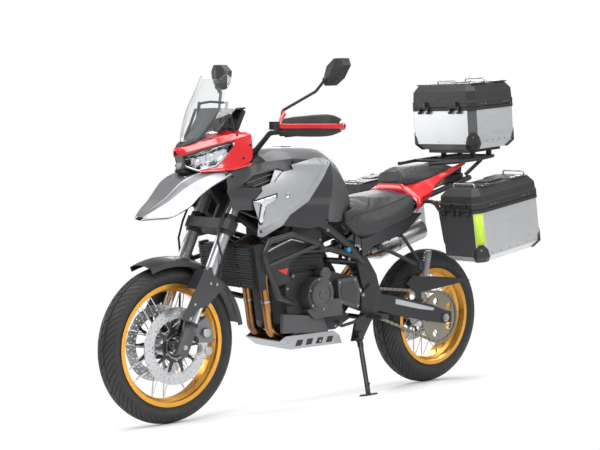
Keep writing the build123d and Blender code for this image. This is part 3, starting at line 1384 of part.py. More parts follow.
# The leaned machine's outline runs from the left mirror to the right box's lower edge and from
# the front tyre to the top box.
outline_left = mirror_reach * lean_cos + mirror_top * lean_sin
outline_right = -pannier_outer_y * lean_cos + (pannier_joint_z - pannier_depth) * lean_sin
outline_front = front_axle_x + front_tyre_radius
outline_rear = top_box_front_x - top_box_length
origin_shift = Vector(-(outline_front + outline_rear) / 2, -(outline_left + outline_right) / 2,
                      lean_lift)
parked = Location((origin_shift.X, origin_shift.Y, origin_shift.Z)) * Rotation(-lean_angle, 0, 0)


def build_all():
    """Every piece, parked: leaned onto the side stand."""
    return {name: parked * make() for name, make in pieces.items()}


def main():
    os.makedirs("parts", exist_ok=True)
    for name, shape in build_all().items():
        export_step(gather([shape]), "parts/" + name + ".step")


if __name__ == "__main__":
    main()
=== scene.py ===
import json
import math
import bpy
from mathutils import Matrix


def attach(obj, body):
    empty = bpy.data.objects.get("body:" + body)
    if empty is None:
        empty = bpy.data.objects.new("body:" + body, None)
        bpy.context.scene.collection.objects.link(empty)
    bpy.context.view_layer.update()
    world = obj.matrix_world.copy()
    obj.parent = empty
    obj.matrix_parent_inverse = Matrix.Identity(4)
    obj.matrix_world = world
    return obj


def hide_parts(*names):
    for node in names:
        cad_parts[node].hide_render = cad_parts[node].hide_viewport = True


bl_info = {
    "name": "Adventure Motorcycle",
    "version": (1, 0, 0),
    "blender": (4, 5, 0),
    "location": "3D View > Sidebar > Motorcycle",
    "description": "Dresses the packed motorcycle with its panels, seats, wheels, luggage and finishes",
    "category": "Object",
}

import bmesh
import bpy
from bpy.props import FloatProperty, FloatVectorProperty, IntProperty, PointerProperty
from mathutils import Matrix, Vector
from mathutils.bvhtree import BVHTree

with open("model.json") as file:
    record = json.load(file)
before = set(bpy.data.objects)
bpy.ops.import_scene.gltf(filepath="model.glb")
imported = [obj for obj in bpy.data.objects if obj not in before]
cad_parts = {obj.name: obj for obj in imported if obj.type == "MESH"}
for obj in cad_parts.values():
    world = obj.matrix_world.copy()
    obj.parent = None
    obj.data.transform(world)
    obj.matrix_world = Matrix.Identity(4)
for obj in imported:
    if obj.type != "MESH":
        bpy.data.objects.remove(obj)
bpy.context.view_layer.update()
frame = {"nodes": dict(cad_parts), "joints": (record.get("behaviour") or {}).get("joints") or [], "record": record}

MM = 0.001
SIDES = (1, -1)  # left, right
REAR_AXLE = (-770.0, 0.0, 321.0)
FRONT_AXLE = (770.0, 0.0, 329.0)
HINGES = {joint["name"]: joint for joint in frame["joints"]}


# ---------------------------------------------------------------- places
def upright_to_row():
    """From the upright machine's millimetres to the row frame, read from the rear wheel."""
    hinge = HINGES["rear_wheel_spin"]
    axis = Vector(hinge["axis"])
    turn = Matrix.Rotation(-math.atan2(-axis.z, axis.y), 4, "X")
    shift = Vector(hinge["pos_m"]) - turn @ (Vector(REAR_AXLE) * MM)
    return Matrix.Translation(shift) @ turn @ Matrix.Scale(MM, 4)


PARK = upright_to_row()


def tilted(x, z, pitch):
    """A box's own axes: origin at its front edge, pitched nose down."""
    return Matrix.Translation((x, 0, z)) @ Matrix.Rotation(math.radians(pitch), 4, "Y")


SIDE_BOX = tilted(-594.0, 851.0, 9.0)
TOP_BOX = tilted(-868.0, 1320.0, 5.0)
RAKE = math.radians(25.2)


def fork_point(along, y):
    """A point of the fork's middle line, measured up from the axle."""
    return Vector((763.0 - along * math.sin(RAKE), y, 329.0 + along * math.cos(RAKE)))


def bar_point(y):
    """The middle line of the left or right grip at y."""
    share = (abs(y) - 155.0) / 265.0
    rise = (abs(y) - 155.0) * 0.0958
    return Vector((342.0 - 135.46 * share, y, 1200.0 + rise))


def flip(points):
    return [Vector((p[0], -p[1], p[2])) for p in points]


# ---------------------------------------------------------------- mesh helpers
def close_ends(bm, rings):
    bm.faces.new(rings[0][::-1])
    bm.faces.new(rings[-1])


def turns(count, shift=0.0):
    """The evenly spaced angles of a full turn."""
    return [math.tau * (k + shift) / count for k in range(count)]


def rings_of(bm, rows):
    return [[bm.verts.new(point) for point in row] for row in rows]


def join_rings(bm, rings, closed=True):
    """Quads between rings of equal length."""
    for low, high in zip(rings, rings[1:]):
        count = len(low)
        for i in range(count if closed else count - 1):
            j = (i + 1) % count
            bm.faces.new((low[i], low[j], high[j], high[i]))


def arc_corners(points, bend):
    """A polyline with its inner corners rounded."""
    points = [Vector(p) for p in points]
    out = [points[0]]
    for before, corner, after in zip(points, points[1:], points[2:]):
        into, away = (before - corner), (after - corner)
        angle = into.angle(away)
        reach = min(bend / math.tan(angle / 2), into.length * 0.49, away.length * 0.49)
        start = corner + into.normalized() * reach
        end = corner + away.normalized() * reach
        for t in (0.0, 0.2, 0.4, 0.6, 0.8, 1.0):
            out.append(start.lerp(corner, t).lerp(corner.lerp(end, t), t))
    out.append(points[-1])
    return out


def tube(bm, points, radius, bend=0.0, count=14, closed=False):
    """A round tube along a polyline, without twist."""
    line = arc_corners(points, bend) if bend else [Vector(p) for p in points]
    radii = radius if isinstance(radius, (list, tuple)) else [radius] * len(line)
    total = len(line)
    tangents = []
    for i in range(total):
        a = line[i - 1] if (i or closed) else line[0]
        b = line[(i + 1) % total] if (i < total - 1 or closed) else line[-1]
        tangents.append((b - a).normalized())
    across = tangents[0].orthogonal().normalized()
    rings = []
    for point, tangent, size in zip(line, tangents, radii):
        across = (across - tangent * across.dot(tangent)).normalized()
        up = tangent.cross(across)
        rings.append([bm.verts.new(point + (across * math.cos(a) + up * math.sin(a)) * size)
                      for a in turns(count)])
    join_rings(bm, rings + ([rings[0]] if closed else []))
    if not closed:
        close_ends(bm, rings)


def lathe(bm, base, axis, profile, count, closed=False):
    """A turned form: (along, radius) pairs round an axis; radius 0 closes to a point."""
    axis = Vector(axis).normalized()
    across = axis.orthogonal().normalized()
    up = axis.cross(across)
    rings = []
    for along, radius in profile:
        centre = Vector(base) + axis * along
        if radius <= 0:
            rings.append([bm.verts.new(centre)])
            continue
        rings.append([bm.verts.new(centre + (across * math.cos(a) + up * math.sin(a)) * radius)
                      for a in turns(count)])
    if closed:
        rings.append(rings[0])
    for low, high in zip(rings, rings[1:]):
        for i in range(count):
            j = (i + 1) % count
            corners = [low[i % len(low)], low[j % len(low)], high[j % len(high)], high[i % len(high)]]
            corners = list(dict.fromkeys(corners))
            if len(corners) > 2:
                bm.faces.new(corners)
    if not closed:
        if len(rings[0]) > 2:
            bm.faces.new(rings[0][::-1])
        if len(rings[-1]) > 2:
            bm.faces.new(rings[-1])


def rod(bm, start, end, radius, count):
    """A round bar with small chamfers at its ends."""
    start, end = Vector(start), Vector(end)
    length = (end - start).length
    edge = min(radius * 0.15, length * 0.2)
    lathe(bm, start, end - start,
          [(0, radius - edge), (edge, radius), (length - edge, radius), (length, radius - edge)],
          count)


def block(bm, low, high, place=None):
    """A box between two corners, in the axes of place."""
    place = place or Matrix()
    xs, ys, zs = (sorted(pair) for pair in zip(low, high))
    corners = [bm.verts.new(place @ Vector((x, y, z))) for x in xs for y in ys for z in zs]
    for quad in ((0, 1, 3, 2), (4, 6, 7, 5), (0, 4, 5, 1), (2, 3, 7, 6), (0, 2, 6, 4), (1, 5, 7, 3)):
        bm.faces.new([corners[i] for i in quad])


def prism(bm, outline, y_from, y_to):
    """A flat plate: (x, z) outline between two values of y."""
    loft(bm, [[(x, y, z) for x, z in outline] for y in (y_from, y_to)])


def loft(bm, sections):
    """A closed body through sections of equal point counts."""
    rings = rings_of(bm, sections)
    join_rings(bm, rings)
    close_ends(bm, rings)


def sheet(rows, bm=None):
    """An open surface through rows of equal point counts, in a new mesh if none is given."""
    bm = bm or bmesh.new()
    join_rings(bm, rings_of(bm, rows), closed=False)
    return bm


def spline(values, at):
    """A smooth value between evenly numbered ones (Catmull-Rom)."""
    i = min(max(int(math.floor(at)), 0), len(values) - 2)
    t = min(max(at - i, 0.0), 1.0)
    p0 = values[max(i - 1, 0)]
    p1, p2 = values[i], values[i + 1]
    p3 = values[min(i + 2, len(values) - 1)]
    return 0.5 * (2 * p1 + (p2 - p0) * t + (2 * p0 - 5 * p1 + 4 * p2 - p3) * t * t
                  + (3 * p1 - p0 - 3 * p2 + p3) * t ** 3)


def place_of(levels, value):
    """Where value lies in a rising or falling list, as a fractional index."""
    rising = levels[-1] > levels[0]
    for i, (a, b) in enumerate(zip(levels, levels[1:])):
        if (value <= b) if rising else (value >= b):
            return i + (value - a) / (b - a)
    return len(levels) - 1.0


def dense(rows, along, across):
    """A control grid made finer by splines both ways."""
    rows = [[Vector(p) for p in row] for row in rows]
    wide = [[spline(row, k / across) for k in range((len(row) - 1) * across + 1)] for row in rows]
    count = len(wide[0])
    return [[spline([row[k] for row in wide], j / along) for k in range(count)]
            for j in range((len(rows) - 1) * along + 1)]


def draped(bm, outline, height_of, step):
    """A sheet with an (x, z) outline whose y follows height_of(x, z)."""
    edge = []
    for (xa, za), (xb, zb) in zip(outline, outline[1:] + outline[:1]):
        parts = max(int(math.hypot(xb - xa, zb - za) / step), 1)
        edge += [(xa + (xb - xa) * k / parts, za + (zb - za) * k / parts) for k in range(parts)]
    flat = bmesh.new()
    flat.faces.new([flat.verts.new((x, 0, z)) for x, z in edge])
    for axis, normal in ((0, (1, 0, 0)), (2, (0, 0, 1))):
        spots = [v.co[axis] for v in flat.verts]
        value = math.floor(min(spots) / step) * step + step
        while value < max(spots):
            point = [0, 0, 0]
            point[axis] = value
            bmesh.ops.bisect_plane(flat, geom=flat.verts[:] + flat.edges[:] + flat.faces[:],
                                   dist=0.4, plane_co=point, plane_no=normal)
            value += step
    made = {}
    for vert in flat.verts:
        made[vert] = bm.verts.new((vert.co.x, height_of(vert.co.x, vert.co.z), vert.co.z))
    for face in flat.faces:
        bm.faces.new([made[v] for v in face.verts])
    flat.free()


def mirror_faces(bm):
    """Adds the other side's copy of everything drawn so far."""
    copy = bmesh.ops.duplicate(bm, geom=bm.verts[:] + bm.edges[:] + bm.faces[:])["geom"]
    verts = [item for item in copy if isinstance(item, bmesh.types.BMVert)]
    faces = [item for item in copy if isinstance(item, bmesh.types.BMFace)]
    for vert in verts:
        vert.co.y = -vert.co.y
    bmesh.ops.reverse_faces(bm, faces=faces)


def body_of_node(node):
    for body, nodes in frame["record"]["behaviour"]["bodies"].items():
        if node in nodes:
            return body
    raise ValueError("no body holds " + node)


def slot_of_node(node):
    for part in frame["record"]["subparts"]:
        if part["node"] == node:
            return part["material_slot"]
    raise ValueError("no slot for " + node)


def put_on(piece, node, replaced):
    """Shows a piece in the scene, riding with a CAD node; the node's slot is looked up but not given to the piece."""
    bpy.context.scene.collection.objects.link(piece)
    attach(piece, body_of_node(node))
    slot_of_node(node)
    if replaced:
        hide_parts(*replaced)
    return piece


def finish_piece(name, bm, node, finishes, smooth=38.0, replaced=(), outward=True):
    """Puts a drawn mesh into the row frame as a piece that rides with a CAD node."""
    bmesh.ops.transform(bm, matrix=PARK, verts=bm.verts)
    if outward:
        bmesh.ops.recalc_face_normals(bm, faces=bm.faces)
    mesh = bpy.data.meshes.new(name)
    bm.to_mesh(mesh)
    bm.free()
    for finish in finishes if isinstance(finishes, tuple) else (finishes,):
        mesh.materials.append(bpy.data.materials[finish])
    mesh.shade_smooth()
    mesh.set_sharp_from_angle(angle=math.radians(smooth))
    return put_on(bpy.data.objects.new(name, mesh), node, replaced)


def add_wall(piece, wall, offset=-1.0):
    """Gives a sheet its thickness in millimetres."""
    solid = piece.modifiers.new("wall", "SOLIDIFY")
    solid.thickness = wall * MM
    solid.offset = offset
    solid.use_even_offset = True


def add_bevel(piece, width, segments=2, angle=28.0):
    """Rounds the edges sharper than the angle."""
    bevel = piece.modifiers.new("edges", "BEVEL")
    bevel.width = width * MM
    bevel.segments = segments
    bevel.limit_method = "ANGLE"
    bevel.angle_limit = math.radians(angle)
    bevel.use_clamp_overlap = True
    bevel.harden_normals = True


def rounded_copy(node, finish, width, segments=2, name=None, drop=None):
    """A CAD node's copy with merged faces and rounded edges, shown in the node's place."""
    bm = bmesh.new()
    bm.from_mesh(frame["nodes"][node].data)
    bmesh.ops.remove_doubles(bm, verts=bm.verts, dist=2e-5)
    if drop:
        gone = [f for f in bm.faces if drop(PARK.inverted() @ f.calc_center_median())]
        bmesh.ops.delete(bm, geom=gone, context="FACES")
    bmesh.ops.dissolve_limit(bm, angle_limit=math.radians(1.0), verts=bm.verts, edges=bm.edges)
    bmesh.ops.transform(bm, matrix=PARK.inverted(), verts=bm.verts)
    piece = finish_piece(name or node + "_shape", bm, node, finish, 30.0, (node,), outward=False)
    add_bevel(piece, width, segments)


# ---------------------------------------------------------------- repeated pieces
def socket(sockets, key):
    """The socket of a name with _ for a space, or of a number."""
    return sockets[int(key) if key.isdigit() else key.replace("_", " ")]


def set_node(node, key, value):
    if hasattr(node, key):
        setattr(node, key, value)
    else:
        socket(node.inputs, key).default_value = value


def add_node(tree, kind, links=(), **values):
    """A node with its settings and inputs; links are (source socket, input) pairs."""
    node = tree.nodes.new(kind)
    for key, value in values.items():
        set_node(node, key, value)
    for source, key in links:
        tree.links.new(source, socket(node.inputs, key))
    return node


def tree_from(title, inputs, kinds, values, links):
    """A geometry tree from tables."""
    tree = bpy.data.node_groups.new(title, "GeometryNodeTree")
    for way in ("INPUT", "OUTPUT"):
        tree.interface.new_socket(name="Geometry", in_out=way, socket_type="NodeSocketGeometry")
    for name, kind in {**inputs, "Finish": "Material"}.items():
        tree.interface.new_socket(name=name, in_out="INPUT", socket_type="NodeSocket" + kind)
    nodes = {name: tree.nodes.new(kind) for name, kind in {**kinds, **TREE_ENDS}.items()}
    for (name, key), value in values.items():
        set_node(nodes[name], key, value)
    ends = [word.split(".") for word in (links + TREE_END_LINKS).split()]
    for (out_node, out_key), (in_node, in_key) in zip(ends[::2], ends[1::2]):
        tree.links.new(socket(nodes[out_node].outputs, out_key), socket(nodes[in_node].inputs, in_key))
    return tree


# Every tree ends in Realize Instances and Set Material.
TREE_ENDS = {"entry": "NodeGroupInput", "real": "GeometryNodeRealizeInstances",
             "paint": "GeometryNodeSetMaterial", "out": "NodeGroupOutput"}
TREE_END_LINKS = """
copies.Instances real.Geometry
real.Geometry paint.Geometry
entry.Finish paint.Material
paint.Geometry out.Geometry
"""
TURNED = (  # copies of one unit turned evenly about an axis through a centre
    "turned copies", {"Unit": "Object", "Count": "Int", "Centre": "Vector", "Axis": "Vector"},
    {"unit": "GeometryNodeObjectInfo", "points": "GeometryNodePoints", "index": "GeometryNodeInputIndex",
     "share": "ShaderNodeMath", "turn": "ShaderNodeMath", "spin": "FunctionNodeAxisAngleToRotation",
     "copies": "GeometryNodeInstanceOnPoints"},
    {("share", "operation"): "DIVIDE", ("turn", "operation"): "MULTIPLY", ("turn", "1"): math.tau}, """
entry.Unit unit.Object
entry.Count points.Count
entry.Centre points.Position
index.Index share.0
entry.Count share.1
share.0 turn.0
entry.Axis spin.Axis
turn.0 spin.Angle
points.Points copies.Points
unit.Geometry copies.Instance
spin.Rotation copies.Rotation
""")
HEADS = (  # a round head with a hexagonal boss on each point, standing along its direction
    "fasteners", {"Radius": "Float", "Height": "Float", "Sides": "Int"},
    {"head": "GeometryNodeMeshCylinder", "cone": "GeometryNodeMeshCone", "both": "GeometryNodeJoinGeometry",
     "lift": "GeometryNodeTransform", "rise": "ShaderNodeCombineXYZ", "slim": "ShaderNodeMath",
     "low": "ShaderNodeMath", "half": "ShaderNodeVectorMath", "facing": "GeometryNodeInputNamedAttribute",
     "align": "FunctionNodeAlignRotationToVector", "copies": "GeometryNodeInstanceOnPoints"},
    {("slim", "operation"): "MULTIPLY", ("slim", "1"): 0.62, ("low", "operation"): "MULTIPLY",
     ("low", "1"): 0.45, ("half", "operation"): "SCALE", ("half", "Scale"): 0.5, ("cone", "Vertices"): 6,
     ("facing", "data_type"): "FLOAT_VECTOR", ("facing", "Name"): "facing"}, """
entry.Sides head.Vertices
entry.Radius head.Radius
entry.Height head.Depth
entry.Radius slim.0
entry.Height low.0
slim.0 cone.Radius_Bottom
slim.0 cone.Radius_Top
low.0 cone.Depth
entry.Height rise.Z
rise.0 half.0
cone.Mesh lift.Geometry
half.0 lift.Translation
head.Mesh both.Geometry
lift.Geometry both.Geometry
facing.Attribute align.Vector
entry.Geometry copies.Points
both.Geometry copies.Instance
align.Rotation copies.Rotation
""")
FOLLOWED = (  # copies of one unit at even steps along a closed line, turned to follow it
    "copies along a line", {"Unit": "Object", "Count": "Int", "Across": "Vector"},
    {"unit": "GeometryNodeObjectInfo", "line": "GeometryNodeMeshToCurve", "steps": "GeometryNodeCurveToPoints",
     "along": "FunctionNodeAlignRotationToVector", "level": "FunctionNodeAlignRotationToVector",
     "copies": "GeometryNodeInstanceOnPoints"},
    {("steps", "mode"): "COUNT", ("along", "axis"): "X", ("level", "axis"): "Y",
     ("level", "pivot_axis"): "X"}, """
entry.Unit unit.Object
entry.Geometry line.Mesh
line.Curve steps.Curve
entry.Count steps.Count
steps.Tangent along.Vector
along.Rotation level.Rotation
entry.Across level.Vector
steps.Points copies.Points
unit.Geometry copies.Instance
level.Rotation copies.Rotation
""")
PLACED = (  # a copy of one unit on each point
    "placed copies", {"Unit": "Object"},
    {"unit": "GeometryNodeObjectInfo", "copies": "GeometryNodeInstanceOnPoints"}, {}, """
entry.Unit unit.Object
entry.Geometry copies.Points
unit.Geometry copies.Instance
""")


def grow(name, start, tables, values, node, finish, smooth, replaced=(), merge=0.0):
    """Runs a tree on a start mesh and keeps the outcome as a plain piece."""
    tree = tree_from(*tables)
    holder = bpy.data.objects.new(name + "_start", start)
    bpy.context.scene.collection.objects.link(holder)
    grower = holder.modifiers.new("grow", "NODES")
    grower.node_group = tree
    values = dict(values, Finish=bpy.data.materials[finish])
    for item in tree.interface.items_tree:
        if item.item_type == "SOCKET" and item.in_out == "INPUT" and item.name in values:
            grower[item.identifier] = values[item.name]
    holder.update_tag()
    ready = holder.evaluated_get(bpy.context.evaluated_depsgraph_get())
    mesh = bpy.data.meshes.new_from_object(ready)
    holder.modifiers.remove(grower)
    bpy.data.objects.remove(holder)
    bm = bmesh.new()
    bm.from_mesh(mesh)
    if merge:
        bmesh.ops.remove_doubles(bm, verts=bm.verts, dist=merge * MM)
    bmesh.ops.recalc_face_normals(bm, faces=bm.faces)
    bm.to_mesh(mesh)
    bm.free()
    if not len(mesh.polygons):
        raise RuntimeError("nothing grew for " + name)
    mesh.name = name
    mesh.shade_smooth()
    mesh.set_sharp_from_angle(angle=math.radians(smooth))
    put_on(bpy.data.objects.new(name, mesh), node, replaced)


def unit_object(name, bm, matrix):
    bmesh.ops.transform(bm, matrix=matrix, verts=bm.verts)
    mesh = bpy.data.meshes.new(name)
    bm.to_mesh(mesh)
    bm.free()
    helper = bpy.data.objects.new(name, mesh)
    bpy.context.scene.collection.objects.link(helper)
    return helper


def row_direction(direction):
    return (PARK.to_3x3() @ Vector(direction)).normalized()


def spun(name, unit, count, centre, node, finish, smooth=38.0, replaced=(), merge=0.0):
    """A unit drawn in the machine's millimetres, repeated round a wheel's axis."""
    centre = PARK @ Vector(centre)
    helper = unit_object(name + "_unit", unit, Matrix.Translation(-centre) @ PARK)
    values = {"Unit": helper, "Count": count, "Centre": centre, "Axis": row_direction((0, 1, 0))}
    grow(name, bpy.data.meshes.new(name + "_empty"), TURNED, values, node, finish, smooth, replaced, merge)
    bpy.data.objects.remove(helper)


def fasteners(name, spots, radius, height, node, finish, count=16):
    """Heads at (point, direction) spots, given in the machine's millimetres."""
    start = bpy.data.meshes.new(name + "_spots")
    start.from_pydata([PARK @ Vector(point) for point, _ in spots], [], [])
    facing = start.attributes.new("facing", "FLOAT_VECTOR", "POINT")
    for item, (_, direction) in zip(facing.data, spots):
        item.vector = row_direction(direction)
    values = {"Radius": radius * MM, "Height": height * MM, "Sides": count}
    grow(name, start, HEADS, values, node, finish, 30.0)


# ---------------------------------------------------------------- finishes
class Look:
    """Builds one procedural material on Object coordinates."""

    def __init__(self, name, color, rough, metal=0.0, coat=0.0):
        mat = bpy.data.materials.new(name)
        mat.use_nodes = True
        self.tree = mat.node_tree
        self.shader = self.tree.nodes["Principled BSDF"]
        self.color = tuple(color)[:3]
        self.where = self.tree.nodes.new("ShaderNodeTexCoord").outputs["Object"]
        for key, value in (("Base Color", (*self.color, 1)), ("Roughness", rough), ("Metallic", metal),
                           ("Coat Weight", coat), ("Coat Roughness", 0.06), ("Specular IOR Level", 0.5)):
            self.shader.inputs[key].default_value = value
        self.relief = None

    def drive(self, source, name):
        self.tree.links.new(source, self.shader.inputs[name])
        return self

    def pattern(self, scale, detail=3.0, stretch=(1, 1, 1), kind="noise"):
        """A value pattern; stretch below 1 draws it out along that axis."""
        mapping = add_node(self.tree, "ShaderNodeMapping", [(self.where, "Vector")], Scale=stretch)
        along = [(mapping.outputs["Vector"], "Vector")]
        if kind == "noise":
            return add_node(self.tree, "ShaderNodeTexNoise", along, Detail=detail, Scale=scale).outputs["Fac"]
        feature = "F1" if kind == "cells" else "DISTANCE_TO_EDGE"
        return add_node(self.tree, "ShaderNodeTexVoronoi", along, feature=feature, Scale=scale).outputs["Distance"]

    def ranged(self, value, low, high, to_low, to_high):
        node = add_node(self.tree, "ShaderNodeMapRange", [(value, "Value")], From_Min=low, From_Max=high,
                        To_Min=to_low, To_Max=to_high)
        return node.outputs["Result"]

    def vary(self, pattern, amount, other=None):
        """Blends the colour towards another one, or a darker and paler self."""
        dark = other or tuple(c * (1 - amount) for c in self.color)
        pale = self.color if other else tuple(min(c * (1 + amount), 1) for c in self.color)
        mix = add_node(self.tree, "ShaderNodeMix", data_type="RGBA")
        mix.inputs["A"].default_value, mix.inputs["B"].default_value = (*dark, 1), (*pale, 1)
        self.tree.links.new(pattern, mix.inputs["Factor"])
        return self.drive(mix.outputs["Result"], "Base Color")

    def gloss(self, pattern, low, high):
        return self.drive(self.ranged(pattern, 0.3, 0.7, low, high), "Roughness")

    def bump(self, pattern, strength, distance):
        node = add_node(self.tree, "ShaderNodeBump", [(pattern, "Height")], Strength=strength, Distance=distance)
        if self.relief:
            self.tree.links.new(self.relief, node.inputs["Normal"])
        self.relief = node.outputs["Normal"]
        return self.drive(self.relief, "Normal")


def painted(name, color, rough, metal, coat):
    look = Look(name, color, rough, metal, coat)
    look.vary(look.pattern(5.0), 0.06)
    look.gloss(look.pattern(60.0), rough * 0.85, rough * 1.15)


def powder(name, color, rough, grain, scale=900.0, metal=0.0):
    look = Look(name, color, rough, metal)
    look.vary(look.pattern(14.0), 0.12)
    look.gloss(look.pattern(120.0), rough * 0.85, rough * 1.2)
    look.bump(look.pattern(scale, 2.0), grain, 0.0003)


def moulded(name, color, rough, grain=0.3):
    look = Look(name, color, rough)
    look.vary(look.pattern(9.0), 0.1)
    look.gloss(look.pattern(70.0), rough * 0.88, rough * 1.14)
    look.bump(look.pattern(1400.0, 2.0, kind="cells"), grain, 0.0002)


def brushed(name, color, rough, stretch, scale, strength=0.15, metal=1.0):
    look = Look(name, color, rough, metal)
    lines = look.pattern(scale, 4.0, stretch)
    look.vary(look.pattern(6.0), 0.07)
    look.gloss(lines, rough * 0.75, rough * 1.35)
    look.bump(lines, strength, 0.0001)
    return look


def clear(name, color, rough, through=1.0):
    look = Look(name, color, rough)
    look.shader.inputs["Transmission Weight"].default_value = through
    look.shader.inputs["IOR"].default_value = 1.46
    look.gloss(look.pattern(30.0), rough, rough * 2.0)


def make_finishes(colors):
    """Every finish of the machine."""
    painted("silver paint", colors.silver, 0.36, 0.3, 0.35)
    painted("dark silver paint", (0.16, 0.163, 0.17), 0.4, 0.3, 0.3)
    painted("graphite paint", colors.graphite, 0.46, 0.3, 0.12)
    painted("satin graphite", (0.035, 0.036, 0.039), 0.42, 0.2, 0.2)
    painted("red paint", colors.red, 0.22, 0.0, 0.8)
    painted("dark red paint", (0.3, 0.008, 0.01), 0.35, 0.0, 0.4)
    powder("frame black", (0.016, 0.016, 0.018), 0.38, 0.12)
    powder("engine black", (0.028, 0.028, 0.031), 0.46, 0.3, 700.0, 0.3)
    powder("engine grey", (0.085, 0.086, 0.09), 0.42, 0.3, 700.0, 0.5)
    moulded("black plastic", (0.018, 0.018, 0.019), 0.5)
    moulded("gloss black plastic", (0.012, 0.012, 0.013), 0.2)
    moulded("grey plastic", (0.09, 0.092, 0.096), 0.5)
    moulded("lime plastic", (0.5, 0.72, 0.05), 0.35, 0.1)
    moulded("blue plastic", (0.02, 0.25, 0.5), 0.35, 0.1)
    brushed("silver frame trim", (0.5, 0.51, 0.53), 0.3, (1, 1, 1), 400.0)
    brushed("box aluminium", colors.aluminium, 0.36, (0.02, 1, 1), 620.0, 0.12, 0.75)
    brushed("box front panel", (0.075, 0.076, 0.08), 0.4, (1, 0.03, 1), 620.0, 0.1, 0.4)
    brushed("plate aluminium", (0.42, 0.43, 0.45), 0.42, (0.04, 1, 1), 500.0, 0.2, 0.8)
    brushed("slider steel", (0.62, 0.63, 0.65), 0.2, (1, 1, 0.05), 300.0, 0.02)
    brushed("fork silver", (0.5, 0.51, 0.53), 0.3, (1, 1, 0.05), 300.0, 0.03, 0.8)
    brushed("bare steel", (0.4, 0.4, 0.41), 0.32, (1, 1, 1), 300.0, 0.1)
    brushed("disc steel", (0.5, 0.51, 0.53), 0.32, (1, 1, 1), 900.0, 0.02)
    brushed("spoke steel", (0.6, 0.61, 0.63), 0.22, (1, 1, 1), 400.0, 0.05)
    brushed("silencer steel", (0.45, 0.45, 0.46), 0.3, (0.04, 1, 1), 500.0, 0.1)
    brushed("chain steel", (0.26, 0.24, 0.2), 0.36, (1, 1, 1), 500.0, 0.15)
    brushed("gold anodised", colors.gold, 0.3, (1, 1, 1), 500.0, 0.06, 0.85)
    brushed("fork black", (0.035, 0.036, 0.04), 0.28, (1, 1, 0.05), 400.0, 0.05, 0.6)
    bronze = brushed("header bronze", (0.42, 0.22, 0.08), 0.3, (1, 1, 1), 260.0, 0.08)
    bronze.vary(bronze.ranged(bronze.pattern(7.0), 0.35, 0.65, 0.0, 1.0), 0, (0.22, 0.11, 0.05))
    mirror = Look("mirror glass", (0.86, 0.88, 0.9), 0.02, 1.0)
    mirror.gloss(mirror.pattern(40.0), 0.015, 0.03)
    clear("screen clear", (0.9, 0.92, 0.93), 0.015)
    clear("lens clear", (0.94, 0.95, 0.96), 0.02)
    clear("smoked lens", (0.35, 0.36, 0.38), 0.03)
    clear("amber lens", (0.95, 0.42, 0.06), 0.1, 0.6)
    clear("red lens", (0.7, 0.02, 0.02), 0.12, 0.5)
    glass = Look("display glass", (0.01, 0.012, 0.015), 0.06, 0.0, 0.5)
    glass.gloss(glass.pattern(30.0), 0.04, 0.08)
    reflector = Look("lamp reflector", (0.75, 0.76, 0.78), 0.12, 1.0)
    reflector.bump(reflector.pattern(140.0, kind="cells"), 0.35, 0.001)
    rubber = Look("tyre rubber", (0.02, 0.02, 0.021), 0.62)
    rubber.vary(rubber.pattern(18.0, 5.0), 0.25)
    rubber.gloss(rubber.pattern(50.0, 5.0), 0.52, 0.72)
    rubber.bump(rubber.pattern(420.0, 3.0), 0.25, 0.0004)
    soft = Look("soft rubber", (0.016, 0.016, 0.017), 0.7)
    soft.vary(soft.pattern(30.0), 0.15)
    soft.bump(soft.pattern(900.0, 2.0), 0.2, 0.0003)
    seat = Look("seat cover", (0.032, 0.032, 0.035), 0.55)
    seat.vary(seat.pattern(20.0, 4.0), 0.16)
    seat.gloss(seat.pattern(90.0), 0.46, 0.62)
    seat.bump(seat.pattern(420.0, kind="edges"), 0.35, 0.0004)
    seat.bump(seat.pattern(10.0, 2.0), 0.15, 0.002)
    stitch = Look("seam thread", (0.11, 0.11, 0.115), 0.7)
    stitch.vary(stitch.pattern(1500.0), 0.2)
    stitch.bump(stitch.pattern(3000.0), 0.5, 0.0002)


# The CAD nodes that each finish is given to.
NODE_FINISHES = {
    "frame black": "main_frame subframe crash_bars rear_shock luggage_racks side_stand handlebar",
    "engine black": "engine_block swingarm rear_caliper footrests triple_clamps front_calipers",
    "engine grey": "engine_covers fork_sliders",
    "header bronze": "exhaust_headers",
    "silencer steel": "silencer",
    "black plastic": "radiator chain_guard dashboard rear_fender top_lid "
    "left_lid right_lid controls hand_guards mirrors",
    "plate aluminium": "skid_plate",
    "chain steel": "chain rear_sprocket",
    "bare steel": "rear_axle front_axle",
    "graphite paint": "fuel_tank",
    "silver paint": "beak side_fairings front_fender",
    "satin graphite": "dark_panels",
    "gloss black plastic": "headlight",
    "red paint": "nose_cowl tail_cowl",
    "screen clear": "windscreen",
    "seat cover": "rider_seat pillion_seat",
    "amber lens": "lamps",
    "box aluminium": "top_box left_box right_box",
    "fork silver": "fork_tubes",
    "soft rubber": "hoses",
    "tyre rubber": "front_tyre rear_tyre",
    "gold anodised": "front_rim rear_rim",
    "spoke steel": "front_hub rear_hub",
    "disc steel": "front_discs rear_disc",
}


def color_setting(name, description, default):
    return FloatVectorProperty(name=name, description=description, subtype="COLOR", default=default, min=0, max=1)


class BikeColors(bpy.types.PropertyGroup):
    """The colours that a user would change."""
    silver: color_setting("Silver panels", "Base colour of the silver panels", (0.40, 0.41, 0.43))
    graphite: color_setting("Graphite panels", "Base colour of the tank", (0.11, 0.114, 0.12))
    red: color_setting("Red panels", "Base colour of cowl, tail and guard bands", (0.62, 0.012, 0.016))
    gold: color_setting("Rims", "Anodised colour of the rims", (0.72, 0.36, 0.06))
    aluminium: color_setting("Boxes", "Colour of the luggage boxes' sides", (0.62, 0.63, 0.64))


